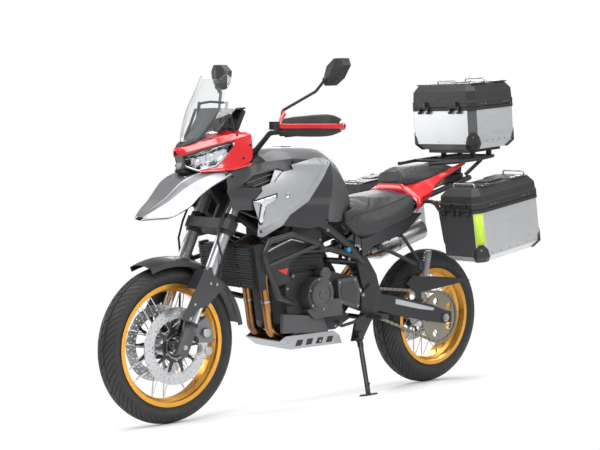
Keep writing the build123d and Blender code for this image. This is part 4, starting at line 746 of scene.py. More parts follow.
class BikeSizes(bpy.types.PropertyGroup):
    """The sizes that a user would change."""
    floor_reach: FloatProperty(name="Floor reach", description="Half width of the pale floor",
                               default=9.0, unit="LENGTH", min=3.0)
    panel_wall: FloatProperty(name="Panel wall", description="Thickness of the body panels in millimetres",
                              default=3.0, min=1.0, max=6.0)
    tread_depth: FloatProperty(name="Tread depth", description="Depth of the tyre grooves in millimetres",
                               default=5.0, min=2.0, max=9.0)
    front_lugs: IntProperty(name="Front tread pitches", description="Tread pitches round the front tyre",
                            default=34, min=12)
    rear_lugs: IntProperty(name="Rear tread pitches", description="Tread pitches round the rear tyre",
                           default=32, min=12)
    disc_cells: IntProperty(name="Disc cells", description="Drilled cells round a brake disc",
                            default=36, min=12)
    chain_links: IntProperty(name="Chain links", description="Links of the chain", default=110, min=60)


def sizes():
    return bpy.context.scene.bike_sizes


# ---------------------------------------------------------------- operators
class BIKE_OT_finishes(bpy.types.Operator):
    """Makes every finish and gives each CAD node in view its own"""
    bl_idname = "bike.finishes"
    bl_label = "Finishes"

    def execute(self, context):
        make_finishes(context.scene.bike_colors)
        for finish, nodes in NODE_FINISHES.items():
            for holder in (frame["nodes"][node] for node in nodes.split()):
                if not holder.material_slots:
                    holder.data.materials.append(None)
                for material_slot in holder.material_slots:
                    material_slot.material = bpy.data.materials[finish]
        return {"FINISHED"}


class BIKE_OT_stage(bpy.types.Operator):
    """Pale floor, soft studio lamps, plain world and the camera"""
    bl_idname = "bike.stage"
    bl_label = "Stage"

    camera_spot = (4279.78, 4788.91, 1205.91)  # upright machine's millimetres
    camera_right = (-0.7484, 0.6632, 0.0)
    camera_up = (-0.0429, -0.0484, 0.9979)
    camera_back = (0.6619, 0.7468, 0.0647)
    lens = 86.58

    def execute(self, context):
        self.make_world(context)
        self.make_floor(context)
        self.make_lamps(context)
        self.make_camera(context)
        context.scene.view_settings.view_transform = "Standard"
        return {"FINISHED"}

    def make_world(self, context):
        world = bpy.data.worlds.new("studio")
        context.scene.world = world
        world.use_nodes = True
        tree = world.node_tree
        ground = tree.nodes["Background"]
        ground.inputs["Color"].default_value = (1, 1, 1, 1)
        path = tree.nodes.new("ShaderNodeLightPath").outputs
        shown = add_node(tree, "ShaderNodeMath", [(path["Is Camera Ray"], "0"), (path["Is Transmission Ray"], "1")],
                         operation="MAXIMUM")
        level = add_node(tree, "ShaderNodeMapRange", [(shown.outputs[0], "Value")], To_Min=0.42, To_Max=1.0)
        tree.links.new(level.outputs["Result"], ground.inputs["Strength"])

    def make_floor(self, context):
        reach = context.scene.bike_sizes.floor_reach
        mesh = bpy.data.meshes.new("floor")
        corners = [(-reach, -reach, 0), (reach, -reach, 0), (reach, reach, 0), (-reach, reach, 0)]
        mesh.from_pydata(corners, [], [(0, 1, 2, 3)])
        floor = bpy.data.objects.new("floor", mesh)
        context.scene.collection.objects.link(floor)
        look = Look("floor", (0.93, 0.93, 0.93), 0.4)
        look.shader.inputs["Specular IOR Level"].default_value = 0.15
        look.shader.inputs["Coat Roughness"].default_value = 0.03
        tree = look.tree
        grain = add_node(tree, "ShaderNodeTexNoise", [(look.where, "Vector")], Scale=3.0)
        tint = add_node(tree, "ShaderNodeMix", data_type="RGBA")
        tint.inputs["A"].default_value, tint.inputs["B"].default_value = (0.92, 0.92, 0.92, 1), (0.95, 0.95, 0.95, 1)
        tree.links.new(grain.outputs["Fac"], tint.inputs["Factor"])
        look.drive(tint.outputs["Result"], "Base Color")
        length = add_node(tree, "ShaderNodeVectorMath", [(look.where, "0")], operation="LENGTH")
        fade = add_node(tree, "ShaderNodeMapRange", [(length.outputs["Value"], "Value")],
                        interpolation_type="SMOOTHSTEP", From_Min=1.3, From_Max=3.2)
        bare = tree.nodes.new("ShaderNodeBsdfTransparent")
        mix = add_node(tree, "ShaderNodeMixShader", [(fade.outputs["Result"], "0"), (look.shader.outputs[0], "1"),
                                                     (bare.outputs[0], "2")])
        tree.links.new(mix.outputs[0], tree.nodes["Material Output"].inputs["Surface"])
        mesh.materials.append(bpy.data.materials["floor"])

    def make_lamps(self, context):
        lamps = [  # name, spot, aim, size, power
            ("key", (3.2, 2.6, 4.2), (0.1, 0.0, 0.7), 3.6, 215.0),
            ("side", (-2.6, 4.4, 2.6), (-0.3, 0.0, 0.7), 3.0, 105.0),
            ("rear", (-3.6, -3.0, 3.4), (-0.4, 0.0, 0.8), 3.0, 130.0),
            ("far", (2.6, -3.8, 2.4), (0.3, 0.0, 0.7), 2.6, 70.0),
            ("top", (0.0, 0.2, 4.6), (0.0, 0.0, 0.0), 3.4, 120.0)]
        for name, spot, aim, size, power in lamps:
            lamp = bpy.data.lights.new(name, "AREA")
            lamp.shape, lamp.size, lamp.energy = "DISK", size, power
            holder = bpy.data.objects.new(name, lamp)
            holder.location = spot
            holder.rotation_euler = (Vector(aim) - Vector(spot)).to_track_quat("-Z", "Y").to_euler()
            holder.visible_camera = False
            context.scene.collection.objects.link(holder)

    def make_camera(self, context):
        data = bpy.data.cameras.new("camera")
        data.lens = self.lens
        data.sensor_width = 36.0
        data.sensor_fit = "HORIZONTAL"
        data.clip_end = 60.0
        camera = bpy.data.objects.new("camera", data)
        turn = PARK.to_3x3().normalized()
        axes = [turn @ Vector(v) for v in (self.camera_right, self.camera_up, self.camera_back)]
        matrix = Matrix(axes).transposed().to_4x4()
        matrix.translation = PARK @ Vector(self.camera_spot)
        camera.matrix_world = matrix
        context.scene.collection.objects.link(camera)
        context.scene.camera = camera


# ---------------------------------------------------------------- panel surfaces
SIDE_X = (600, 480, 330, 180, 0)
SIDE_Z = (740, 860, 980, 1100)
SIDE_Y = ((120, 172, 186, 120), (196, 208, 214, 176), (206, 214, 214, 194),
          (196, 200, 202, 194), (176, 180, 190, 182))
SILVER = [(437, 958), (484, 916), (452, 840), (450, 772), (426, 766), (317, 812), (278, 854),
          (162, 908), (60, 1020), (25, 1076), (60, 1092), (120, 1094), (266, 1066), (255, 1046),
          (317, 1036), (360, 1000), (440, 978)]
SCOOP = [(548, 976), (476, 1026), (338, 1050), (304, 1040), (368, 988), (424, 968)]
SIDE_LAMP = [(482, 917), (362, 944), (363, 926), (418, 898), (434, 826), (445, 828), (451, 842),
             (440, 906)]


def side_y(x, z):
    """How far out the side panels stand at (x, z)."""
    along = place_of(SIDE_X, min(max(x, 0), 600))
    up = place_of(SIDE_Z, min(max(z, 740), 1100))
    return spline([spline(row, up) for row in SIDE_Y], along)


def line_distance(x, z, line):
    best = 1e9
    for (xa, za), (xb, zb) in zip(line, line[1:]):
        dx, dz = xb - xa, zb - za
        t = min(max(((x - xa) * dx + (z - za) * dz) / (dx * dx + dz * dz), 0), 1)
        best = min(best, math.hypot(x - xa - dx * t, z - za - dz * t))
    return best


def step_down(distance, edge, width, depth):
    """0 beyond the edge, falling to -depth within it over the width."""
    t = min(max((edge - distance) / width, 0), 1)
    return -depth * t * t * (3 - 2 * t)


def face_towards(bm, direction):
    """Turns open sheets so that they face one way."""
    bm.normal_update()
    wrong = [f for f in bm.faces if f.normal.dot(Vector(direction)) < 0]
    bmesh.ops.reverse_faces(bm, faces=wrong)


def face_away(bm, hub):
    """Turns every face away from a point within."""
    bm.normal_update()
    for face in bm.faces:
        if face.normal.dot(face.calc_center_median() - hub) < 0:
            face.normal_flip()


def shell(name, bm, node, finishes, direction=(0, 1, 0), wall=None, bevel=1.0, replaced=(), smooth=32.0):
    """A moulded shell from an open sheet, on both sides of the machine."""
    if direction:
        face_towards(bm, direction)
    mirror_faces(bm)
    bmesh.ops.remove_doubles(bm, verts=bm.verts, dist=0.01)
    piece = finish_piece(name, bm, node, finishes, smooth, replaced, outward=False)
    add_wall(piece, wall or sizes().panel_wall)
    if bevel:
        add_bevel(piece, bevel, 2, 40.0)


def side_sheet(bm, outline, lift, step):
    draped(bm, outline, lambda x, z: side_y(x, z) + (lift(x, z) if callable(lift) else lift), step)


def inset(outline, amount):
    """An outline drawn in towards its middle."""
    cx = sum(p[0] for p in outline) / len(outline)
    cz = sum(p[1] for p in outline) / len(outline)
    out = []
    for x, z in outline:
        far = math.hypot(x - cx, z - cz)
        share = max(far - amount, 0) / far
        out.append((cx + (x - cx) * share, cz + (z - cz) * share))
    return out


class BIKE_OT_side_panels(bpy.types.Operator):
    """Side panels with their creases, air scoops and lamps"""
    bl_idname = "bike.side_panels"
    bl_label = "Side panels"

    def execute(self, context):
        rear_edge = SILVER[3:11]
        bm = bmesh.new()
        side_sheet(bm, SILVER, lambda x, z: 2.0 + step_down(line_distance(x, z, rear_edge), 34, 5, 3.6)
                   + 5.0 * math.exp(-((z - 1064 - (x - 160) * 0.02) / 16) ** 2), 7.0)
        shell("silver_side_panels", bm, "side_fairings", "silver paint", replaced=("side_fairings",))
        lower = [(592, 992), (597, 960), (562, 884), (430, 878), (330, 812), (150, 790), (20, 796),
                 (10, 1010), (20, 1080), (250, 1092), (304, 1040), (368, 988), (424, 968), (548, 976)]
        upper = [(586, 1034), (592, 992), (548, 976), (476, 1026), (338, 1050), (304, 1040),
                 (250, 1092), (400, 1080)]
        bm = bmesh.new()
        for outline in (lower, upper):
            side_sheet(bm, outline, lambda x, z: -3.5 + step_down(z - 884, 34, 26, 8.0), 12.0)
        shell("dark_side_panels", bm, "fuel_tank", "satin graphite")
        bm = bmesh.new()
        rim = [Vector((x, side_y(x, z) - 2.0, z)) for x, z in SCOOP]
        deep = [Vector((x, side_y(x, z) - 27.0, z)) for x, z in inset(SCOOP, 12)]
        rings = rings_of(bm, (rim, deep))
        join_rings(bm, rings)
        bm.faces.new(rings[1])
        face_towards(bm, (0, 1, 0))
        for face in bm.faces:
            middle = face.calc_center_median()
            inward = Vector((420, middle.y, 1008)) - middle
            if face.normal.dot(inward) < 0 and abs(face.normal.y) < 0.9:
                face.normal_flip()
        mirror_faces(bm)
        piece = finish_piece("scoop_pockets", bm, "fuel_tank", "black plastic", 30.0, outward=False)
        add_wall(piece, 2.0)
        bm = bmesh.new()
        tube(bm, rim, 3.2, count=8, closed=True)
        for start, end in (((498, 992), (352, 1030)), ((470, 978), (372, 1004))):
            tube(bm, [(x, side_y(x, z) - 20, z) for x, z in (start, end)], 4.0, count=6)
        mirror_faces(bm)
        finish_piece("scoop_rims", bm, "fuel_tank", "satin graphite")
        bm = bmesh.new()
        side_sheet(bm, [(352, 1046), (304, 1042), (332, 1012), (392, 984), (372, 1012)], -6.0, 14.0)
        shell("scoop_wedges", bm, "side_fairings", "silver paint", wall=2.5)
        for name, outline, lift, wall, finish, node in (
                ("side_lamp_beds", inset(SIDE_LAMP, -9), 3.2, 2.5, "gloss black plastic", "dashboard"),
                ("side_lamp_reflectors", SIDE_LAMP, 3.9, 0.7, "lamp reflector", "headlight"),
                ("side_lamp_lenses", SIDE_LAMP, 6.2, 1.8, "lens clear", "headlight")):
            bm = bmesh.new()
            side_sheet(bm, outline, lift, 9.0)
            shell(name, bm, node, finish, wall=wall, bevel=0.6 if wall > 1 else 0)
        bm = bmesh.new()
        lathe(bm, (298, side_y(298, 940) + 1, 940), (0.03, 1, 0),
              [(0, 13), (2.6, 13), (3.4, 11.8), (3.0, 10.6), (2.4, 9)], 28)
        mirror_faces(bm)
        finish_piece("round_badges", bm, "side_fairings", "silver frame trim")
        spots = [((x, side * (side_y(x, z) + (0.5 if 440 > x > 40 else -3)), z), (0, side, 0)) for side in SIDES
                 for x, z in ((44, 1068), (436, 790), (30, 820), (560, 1020), (250, 1078))]
        fasteners("panel_screws", spots, 5.5, 2.4, "dashboard", "gloss black plastic")
        return {"FINISHED"}


BEAK = [  # x, then (y, z) at the middle, inner fold, crest, ridge line and edge
    (906, (0, 862), (10, 863), (20, 864), (26, 862), (34, 857)),
    (860, (0, 890), (18, 897), (36, 902), (54, 892), (78, 862)),
    (811, (0, 926), (24, 934), (52, 938), (74, 922), (109, 868)),
    (758, (0, 975), (30, 984), (66, 990), (94, 966), (148, 905)),
    (720, (0, 1006), (34, 1012), (72, 1014), (106, 992), (158, 943)),
    (660, (0, 1026), (38, 1030), (80, 1036), (120, 1020), (166, 984)),
    (600, (0, 1034), (40, 1036), (84, 1044), (128, 1038), (170, 1013)),
    (562, (0, 1036), (40, 1038), (84, 1048), (132, 1044), (172, 1032))]


class BIKE_OT_beak(bpy.types.Operator):
    """The folded beak under the headlamp"""
    bl_idname = "bike.beak"
    bl_label = "Beak"

    def execute(self, context):
        grid = dense([[(x, y, z) for y, z in row] for x, *row in BEAK], 5, 1)
        grid = [[row[0], row[1], row[1].lerp(row[2], 0.85), row[2], row[2].lerp(row[3], 0.15), row[3],
                 row[3].lerp(row[4], 0.12), row[4]] for row in grid]
        bm = bmesh.new()
        rings = rings_of(bm, grid)
        for low, high in zip(rings, rings[1:]):
            for i in range(len(low) - 1):
                face = bm.faces.new((low[i], low[i + 1], high[i + 1], high[i]))
                face.material_index = 1 if i < 3 else (2 if i == 4 else 0)
        shell("beak_shell", bm, "side_fairings", ("silver paint", "dark silver paint", "dark silver paint"),
              (0, 0, 1), bevel=0.8, replaced=("beak",), smooth=24.0)
        bm = bmesh.new()
        lip = [Vector((x, row[-1][0] - 6, row[-1][1] - 5)) for x, *row in BEAK]
        inner = [p + Vector((-8, -26, -6)) for p in lip]
        sheet(dense([lip, inner], 1, 4), bm)
        shell("beak_lips", bm, "side_fairings", "grey plastic", (0, 0, 1), 2.0)
        bm = bmesh.new()
        for side in SIDES:
            tube(bm, [Vector((712 + 9 * math.cos(a), side * 58 + 7 * math.sin(a), 1019 + 3 * math.cos(a)))
                      for a in turns(20)], 1.6, count=8, closed=True)
        finish_piece("beak_rings", bm, "side_fairings", "silver frame trim")
        return {"FINISHED"}


COWL = [  # x, brow half width, brow z, ridge z
    (724, 12, 1106, 1126), (716, 26, 1108, 1138), (690, 52, 1117, 1150), (650, 84, 1130, 1166), (590, 128, 1150, 1190),
    (530, 154, 1166, 1204), (462, 174, 1188, 1212)]
CHEEK = [  # the cheek's front edge and its rear edge, from the low tip upwards
    ((657, 84, 1045), (650, 92, 1037)), ((628, 106, 1055), (600, 136, 1046)),
    ((600, 127, 1064), (548, 166, 1056)), ((568, 143, 1102), (503, 181, 1070)),
    ((541, 156, 1142), (470, 189, 1090)), ((535, 159, 1166), (461, 185, 1136)),
    ((530, 155, 1172), (459, 176, 1186))]
MOUTH = [(699, 36, 1101), (690, 34, 1064), (658, 70, 1047), (600, 121, 1065), (541, 149, 1140),
         (541, 146, 1160), (600, 118, 1143), (652, 82, 1124)]


def ladder(lines, along, bulge, push=(0, 1, 0)):
    """A sheet between pairs of edge points, with its middle pushed out."""
    rows = []
    for low, high in lines:
        low, high = Vector(low), Vector(high)
        rows.append([low, low.lerp(high, 0.45) + Vector(push) * bulge, high])
    return dense(rows, along, 1)


class BIKE_OT_nose(bpy.types.Operator):
    """Red cowl, headlamps, screen and instrument panel"""
    bl_idname = "bike.nose"
    bl_label = "Nose"

    def execute(self, context):
        bm = bmesh.new()
        rows = []
        for x, brow, brow_z, ridge in COWL:
            rows.append([(x, 0, ridge + 1), (x, brow * 0.45, ridge), (x, brow * 0.82, ridge - 9),
                         (x - 2, brow, brow_z + 8), (x - 6, brow * 0.99, brow_z - 4)])
        sheet(dense(rows, 4, 1), bm)
        shell("red_cowl", bm, "nose_cowl", "red paint", (0.2, 0.6, 1), bevel=1.5,
              replaced=("nose_cowl",), smooth=26.0)
        bm = sheet(ladder(CHEEK, 3, 4.0, (0.2, 1, 0)))
        shell("red_cheeks", bm, "nose_cowl", "red paint", (0.3, 1, 0), bevel=1.0, smooth=26.0)
        bm = sheet(ladder([((664, 82, 1044), (660, 86, 1036)), ((600, 140, 1050), (600, 138, 1041)),
                          ((540, 172, 1061), (540, 170, 1048)), ((466, 192, 1078), (470, 191, 1068))], 3, 3.0))
        shell("cowl_blades", bm, "nose_cowl", "red paint", bevel=0.8)
        bm = bmesh.new()
        outer = [Vector(p) for p in MOUTH]
        middle = sum(outer, Vector()) / len(outer)
        back = Vector((-34, -22, 0))
        inner = [middle + (p - middle) * 0.86 + back for p in outer]
        rings = rings_of(bm, (outer, inner))
        join_rings(bm, rings)
        bm.faces.new(rings[1])
        bmesh.ops.recalc_face_normals(bm, faces=bm.faces)
        floor = max(bm.faces, key=lambda f: len(f.verts))
        if floor.normal.dot(Vector((0.8, 0.6, 0))) < 0:
            bmesh.ops.reverse_faces(bm, faces=bm.faces)
        shell("headlamp_bowls", bm, "dashboard", "gloss black plastic", None, 2.0,
              replaced=("headlight",))
        bm = bmesh.new()
        corners = [Vector(p) for p in ((668, 48, 1062), (676, 50, 1094), (552, 132, 1148), (592, 112, 1074))]
        wide, high = 12, 5
        grid = []
        for j in range(high + 1):
            row = []
            for i in range(wide + 1):
                u, v = i / wide, j / high
                low, top = corners[0].lerp(corners[3], u), corners[1].lerp(corners[2], u)
                depth = -14 + (7 if (i + j) % 2 else -5)
                row.append(low.lerp(top, v) + Vector((0.75, 0.65, 0)) * depth)
            grid.append(row)
        sheet(grid, bm)
        shell("headlamp_crystals", bm, "headlight", "lamp reflector", (0.75, 0.65, 0), 1.0, 0, smooth=12.0)
        bm = bmesh.new()
        for centre, radius in (((660, 64, 1080), 15), ((618, 96, 1098), 21)):
            lathe(bm, Vector(centre) - Vector((14, 11, 0)), (0.8, 0.6, 0.02),
                  [(0, radius), (12, radius), (14, radius - 2), (10, radius - 4), (12, radius * 0.5), (14, 0)], 28)
        mirror_faces(bm)
        finish_piece("headlamp_projectors", bm, "headlight", "lamp reflector")
        bm = bmesh.new()
        low = [bm.verts.new(p) for p in outer]
        peak = [bm.verts.new(middle + (p - middle) * 0.6 + Vector((7, 8, 0))) for p in outer]
        join_rings(bm, [low, peak])
        bm.faces.new(peak)
        shell("headlamp_lenses", bm, "headlight", "lens clear", (0.7, 0.7, 0), 2.0, 0, smooth=60.0)
        bm = bmesh.new()
        tube(bm, [(697, 34, 1068), (690, 34, 1061), (658, 71, 1044), (600, 123, 1062), (550, 148, 1122)],
             [3.0, 5.0, 5.5, 5.5, 3.0], count=8)
        mirror_faces(bm)
        finish_piece("headlamp_sills", bm, "side_fairings", "silver frame trim")
        bm = bmesh.new()
        tube(bm, [(699, 38, 1104), (652, 84, 1127), (600, 121, 1146), (545, 149, 1163), (538, 152, 1142),
                  (560, 142, 1108)], 4.0, 8, count=8)
        mirror_faces(bm)
        finish_piece("headlamp_seals", bm, "dashboard", "black plastic")
        for name, finish, node, table in (
                ("nose_centre", "dark silver paint", "side_fairings",
                 ((1110, 674, 710, 30), (1076, 664, 701, 27), (1060, 662, 706, 24), (1050, 660, 712, 20))),
                ("nose_chin", "black plastic", "dashboard",
                 ((1050, 640, 706, 34), (1036, 600, 700, 44), (1028, 610, 684, 40)))):
            bm = bmesh.new()
            loft(bm, [[(back, -half, z), (front, -half * 0.7, z), (front, half * 0.7, z), (back, half, z)]
                      for z, back, front, half in table])
            add_bevel(finish_piece(name, bm, node, finish), 2.0)
        bm = sheet(dense([[(x, half * s, z + 5 - 6 * s * s) for s in (0, 0.5, 1)] for x, half, z in (
            (714, 8, 1139), (702, 24, 1147), (680, 40, 1158), (650, 54, 1170), (612, 64, 1186))], 4, 2))
        shell("screen_foot", bm, "dashboard", "black plastic", (0, 0, 1), 6.0, 1.5)
        bm = bmesh.new()
        levels = [(1144, 690, 632, 66), (1210, 662, 596, 120), (1300, 612, 536, 166),
                  (1360, 578, 508, 158), (1424, 540, 500, 130)]
        shares = [k / 12 for k in range(13)]
        grid = []
        for j in range(25):
            row = []
            for s in shares:
                rise = 21 * math.exp(-((s - 0.66) / 0.14) ** 2) if s < 0.66 else 21 - 34 * ((s - 0.66) / 0.34)
                at = 4 * j / 24
                z, mid, edge, half = (spline([lev[k] for lev in levels], at) for k in range(4))
                z += rise * (j / 24) ** 6
                crease = 7 * math.exp(-((s - 0.45) / 0.08) ** 2)
                row.append((edge + (mid - edge) * (1 - s * s) - crease * 0.4, half * s, z))
            grid.append(row)
        sheet(grid, bm)
        shell("clear_screen", bm, "windscreen", "screen clear", (1, 0.3, 0.5), 3.5, 1.0,
              replaced=("windscreen",), smooth=50.0)
        bm = bmesh.new()
        for start, end, size in (((560, 84, 1196), (522, 96, 1330), 7), ((500, 110, 1204), (520, 100, 1300), 6),
                                 ((640, 50, 1172), (548, 88, 1300), 6)):
            tube(bm, [start, Vector(start).lerp(Vector(end), 0.5) + Vector((-4, 0, 0)), end], size, 20, 10)
        tube(bm, [(522, 98, 1322), (530, 60, 1326), (538, 0, 1330)], 5, 20, 10)
        mirror_faces(bm)
        finish_piece("screen_arms", bm, "dashboard", "black plastic")
        bm = sheet(dense([[(x + 10 * (1 - s * s), half * s, z) for s in (0, 0.5, 1)] for x, half, z in (
            (640, 44, 1176), (600, 66, 1210), (560, 74, 1260), (530, 78, 1304))], 3, 3))
        shell("screen_back", bm, "dashboard", "grey plastic", (1, 0, 0.5), 2.5)
        rounded_copy("dashboard", "black plastic", 2.5, 3)
        bm = bmesh.new()
        prism(bm, [(451, 1213), (449, 1212), (411, 1288), (413, 1289)], -74, 74)
        add_bevel(finish_piece("display", bm, "dashboard", "display glass"), 0.8)
        spots = [((690, 0, 1158.5), (0.6, 0, 0.8))]
        for side in SIDES:
            spots += [((505, side * 178, 1096), (0, side, 0)), ((470, side * 182, 1150), (0, side, 0)),
                      ((600, side * 66, 1194), (0, 0, 1)), ((522, side * 158, 1190), (0.2, side, 0.5))]
        fasteners("nose_screws", spots, 5.0, 2.6, "dashboard", "gloss black plastic")
        return {"FINISHED"}


TANK = [  # x, then (y, z) from the floor's edge over the shoulder to the middle
    (292, (92, 950), (128, 1020), (104, 1052), (48, 1092), (22, 1100), (0, 1101)),
    (228, (134, 884), (158, 1040), (150, 1074), (74, 1122), (30, 1133), (0, 1134)),
    (121, (150, 838), (176, 1030), (168, 1072), (88, 1130), (34, 1141), (0, 1142)),
    (0, (146, 814), (171, 1010), (162, 1058), (88, 1122), (34, 1135), (0, 1136)),
    (-90, (120, 806), (141, 966), (132, 1012), (72, 1080), (30, 1091), (0, 1092)),
    (-166, (82, 828), (97, 906), (92, 942), (50, 990), (20, 1000), (0, 1001)),
    (-204, (60, 852), (70, 878), (66, 900), (36, 924), (14, 932), (0, 933))]


class BIKE_OT_tank(bpy.types.Operator):
    """The tank with its shoulder creases and filler cap"""
    bl_idname = "bike.tank"
    bl_label = "Tank"

    def execute(self, context):
        bm = bmesh.new()
        half = dense([[(x, y, z) for y, z in row] for x, *row in TANK], 5, 4)
        sections = [row[:-1] + [row[-1]] + flip(row[:-1])[::-1] for row in half]
        loft(bm, sections)
        finish_piece("tank_shell", bm, "fuel_tank", "graphite paint", 50.0, ("fuel_tank",))
        bm = bmesh.new()
        lathe(bm, (138, 0, 1132), (0.02, 0, 1), [(0, 44), (10, 44), (11, 42), (10, 37), (12, 36), (13, 33),
                                              (13, 22), (12, 20), (12, 0)], 40)
        finish_piece("filler_cap", bm, "fuel_tank", "gloss black plastic")
        fasteners("cap_screws", [((150 + 40 * math.cos(a), 40 * math.sin(a), 1141), (0, 0, 1))
                                 for a in turns(6)], 2.8, 1.6,
                  "fuel_tank", "bare steel")
        return {"FINISHED"}


TAIL = [  # x, then (y, z) of the lower edge, belly, crease and upper edge
    (-520, (180, 834), (186, 852), (178, 886), (118, 919)), (-534, (175, 838), (184, 858), (181, 900), (90, 953)),
    (-560, (166, 852), (177, 870), (183, 908), (92, 959)), (-600, (160, 872), (172, 888), (177, 918), (110, 969)),
    (-630, (157, 896), (168, 908), (172, 931), (121, 977)), (-660, (152, 934), (160, 944), (165, 956), (127, 986)),
    (-720, (142, 966), (149, 975), (153, 987), (131, 1005)),
    (-796, (130, 999), (136, 1008), (138, 1017), (126, 1028)),
    (-870, (117, 1026), (121, 1032), (123, 1039), (114, 1048)),
    (-930, (106, 1046), (111, 1050), (111, 1055), (104, 1060))]


class BIKE_OT_tail(bpy.types.Operator):
    """Red tail blades, tail lamp, turn lamps and the bare plate holder"""
    bl_idname = "bike.tail"
    bl_label = "Tail"

    def execute(self, context):
        bm = sheet(dense([[(x, y, z) for y, z in row] for x, *row in TAIL], 4, 2))
        shell("tail_blades", bm, "nose_cowl", "red paint", bevel=1.0, replaced=("tail_cowl",),
              smooth=40.0)
        bm = bmesh.new()
        prism(bm, [(-929, 999), (-962, 1006), (-968, 1034), (-934, 1034)], -54, 54)
        add_bevel(finish_piece("tail_lamp_body", bm, "lamps", "gloss black plastic",
                               replaced=("lamps",)), 3.0)
        bm = bmesh.new()
        prism(bm, [(-962, 1004), (-969, 1006.5), (-973, 1036), (-966, 1036)], -50, 50)
        add_bevel(finish_piece("tail_lamp_lens", bm, "lamps", "red lens"), 2.0, 3)
        bm = bmesh.new()
        for y in range(-40, 41, 10):
            block(bm, (-964, y - 3.5, 1010), (-960, y + 3.5, 1030))
        finish_piece("tail_lamp_cells", bm, "lamps", "lamp reflector")
        for name, finish, low, high, squeeze in (("turn_lamp_bodies", "black plastic", -1020, -1003, 1.0),
                                                 ("turn_lamp_lenses", "amber lens", -1003, -988, 0.92)):
            bm = bmesh.new()
            loft(bm, dense([[(x, y, z) for x, z in (
                (low, 850 - h * squeeze), (high, 850 - h * squeeze), (high, 850 + h * squeeze),
                (low, 850 + h * squeeze))] for y, h in ((116, 10), (124, 13), (150, 12), (166, 8))], 3, 1))
            if name == "turn_lamp_bodies":
                tube(bm, [(-1003, 61, 850), (-1003, 118, 850)], 6, count=14)
                for y in (70, 78, 86, 94, 102):
                    lathe(bm, (-1003, y, 850), (0, 1, 0), [(0, 6), (1, 7.4), (4, 7.4), (5, 6)], 14)
            mirror_faces(bm)
            add_bevel(finish_piece(name, bm, "lamps", finish), 1.5)
        rounded_copy("rear_fender", "black plastic", 1.5)
        return {"FINISHED"}


# ---------------------------------------------------------------- luggage
def box_plan(length, inner, outer, chamfers, inset_by):
    """The plan of a box with its outer corners cut off, front edge at x = 0."""
    low, high, cut = inner + inset_by, outer - inset_by, 32 - inset_by * 0.4
    front, rear = -inset_by, inset_by - length
    ring = [(front, low), (front, high - cut), (front - cut, high), (rear + cut, high),
            (rear, high - cut), (rear, low)]
    if chamfers == 4:
        ring = [(front, low + cut)] + ring[1:5] + [(rear, low + cut), (rear + cut, low), (front - cut, low)]
    return ring


def box_rings(bm, place, levels, plan, flipped):
    rings = rings_of(bm, [[place @ Vector((x, -y if flipped else y, z)) for x, y in plan(inset_by)]
                          for z, inset_by in levels])
    join_rings(bm, rings)
    return rings


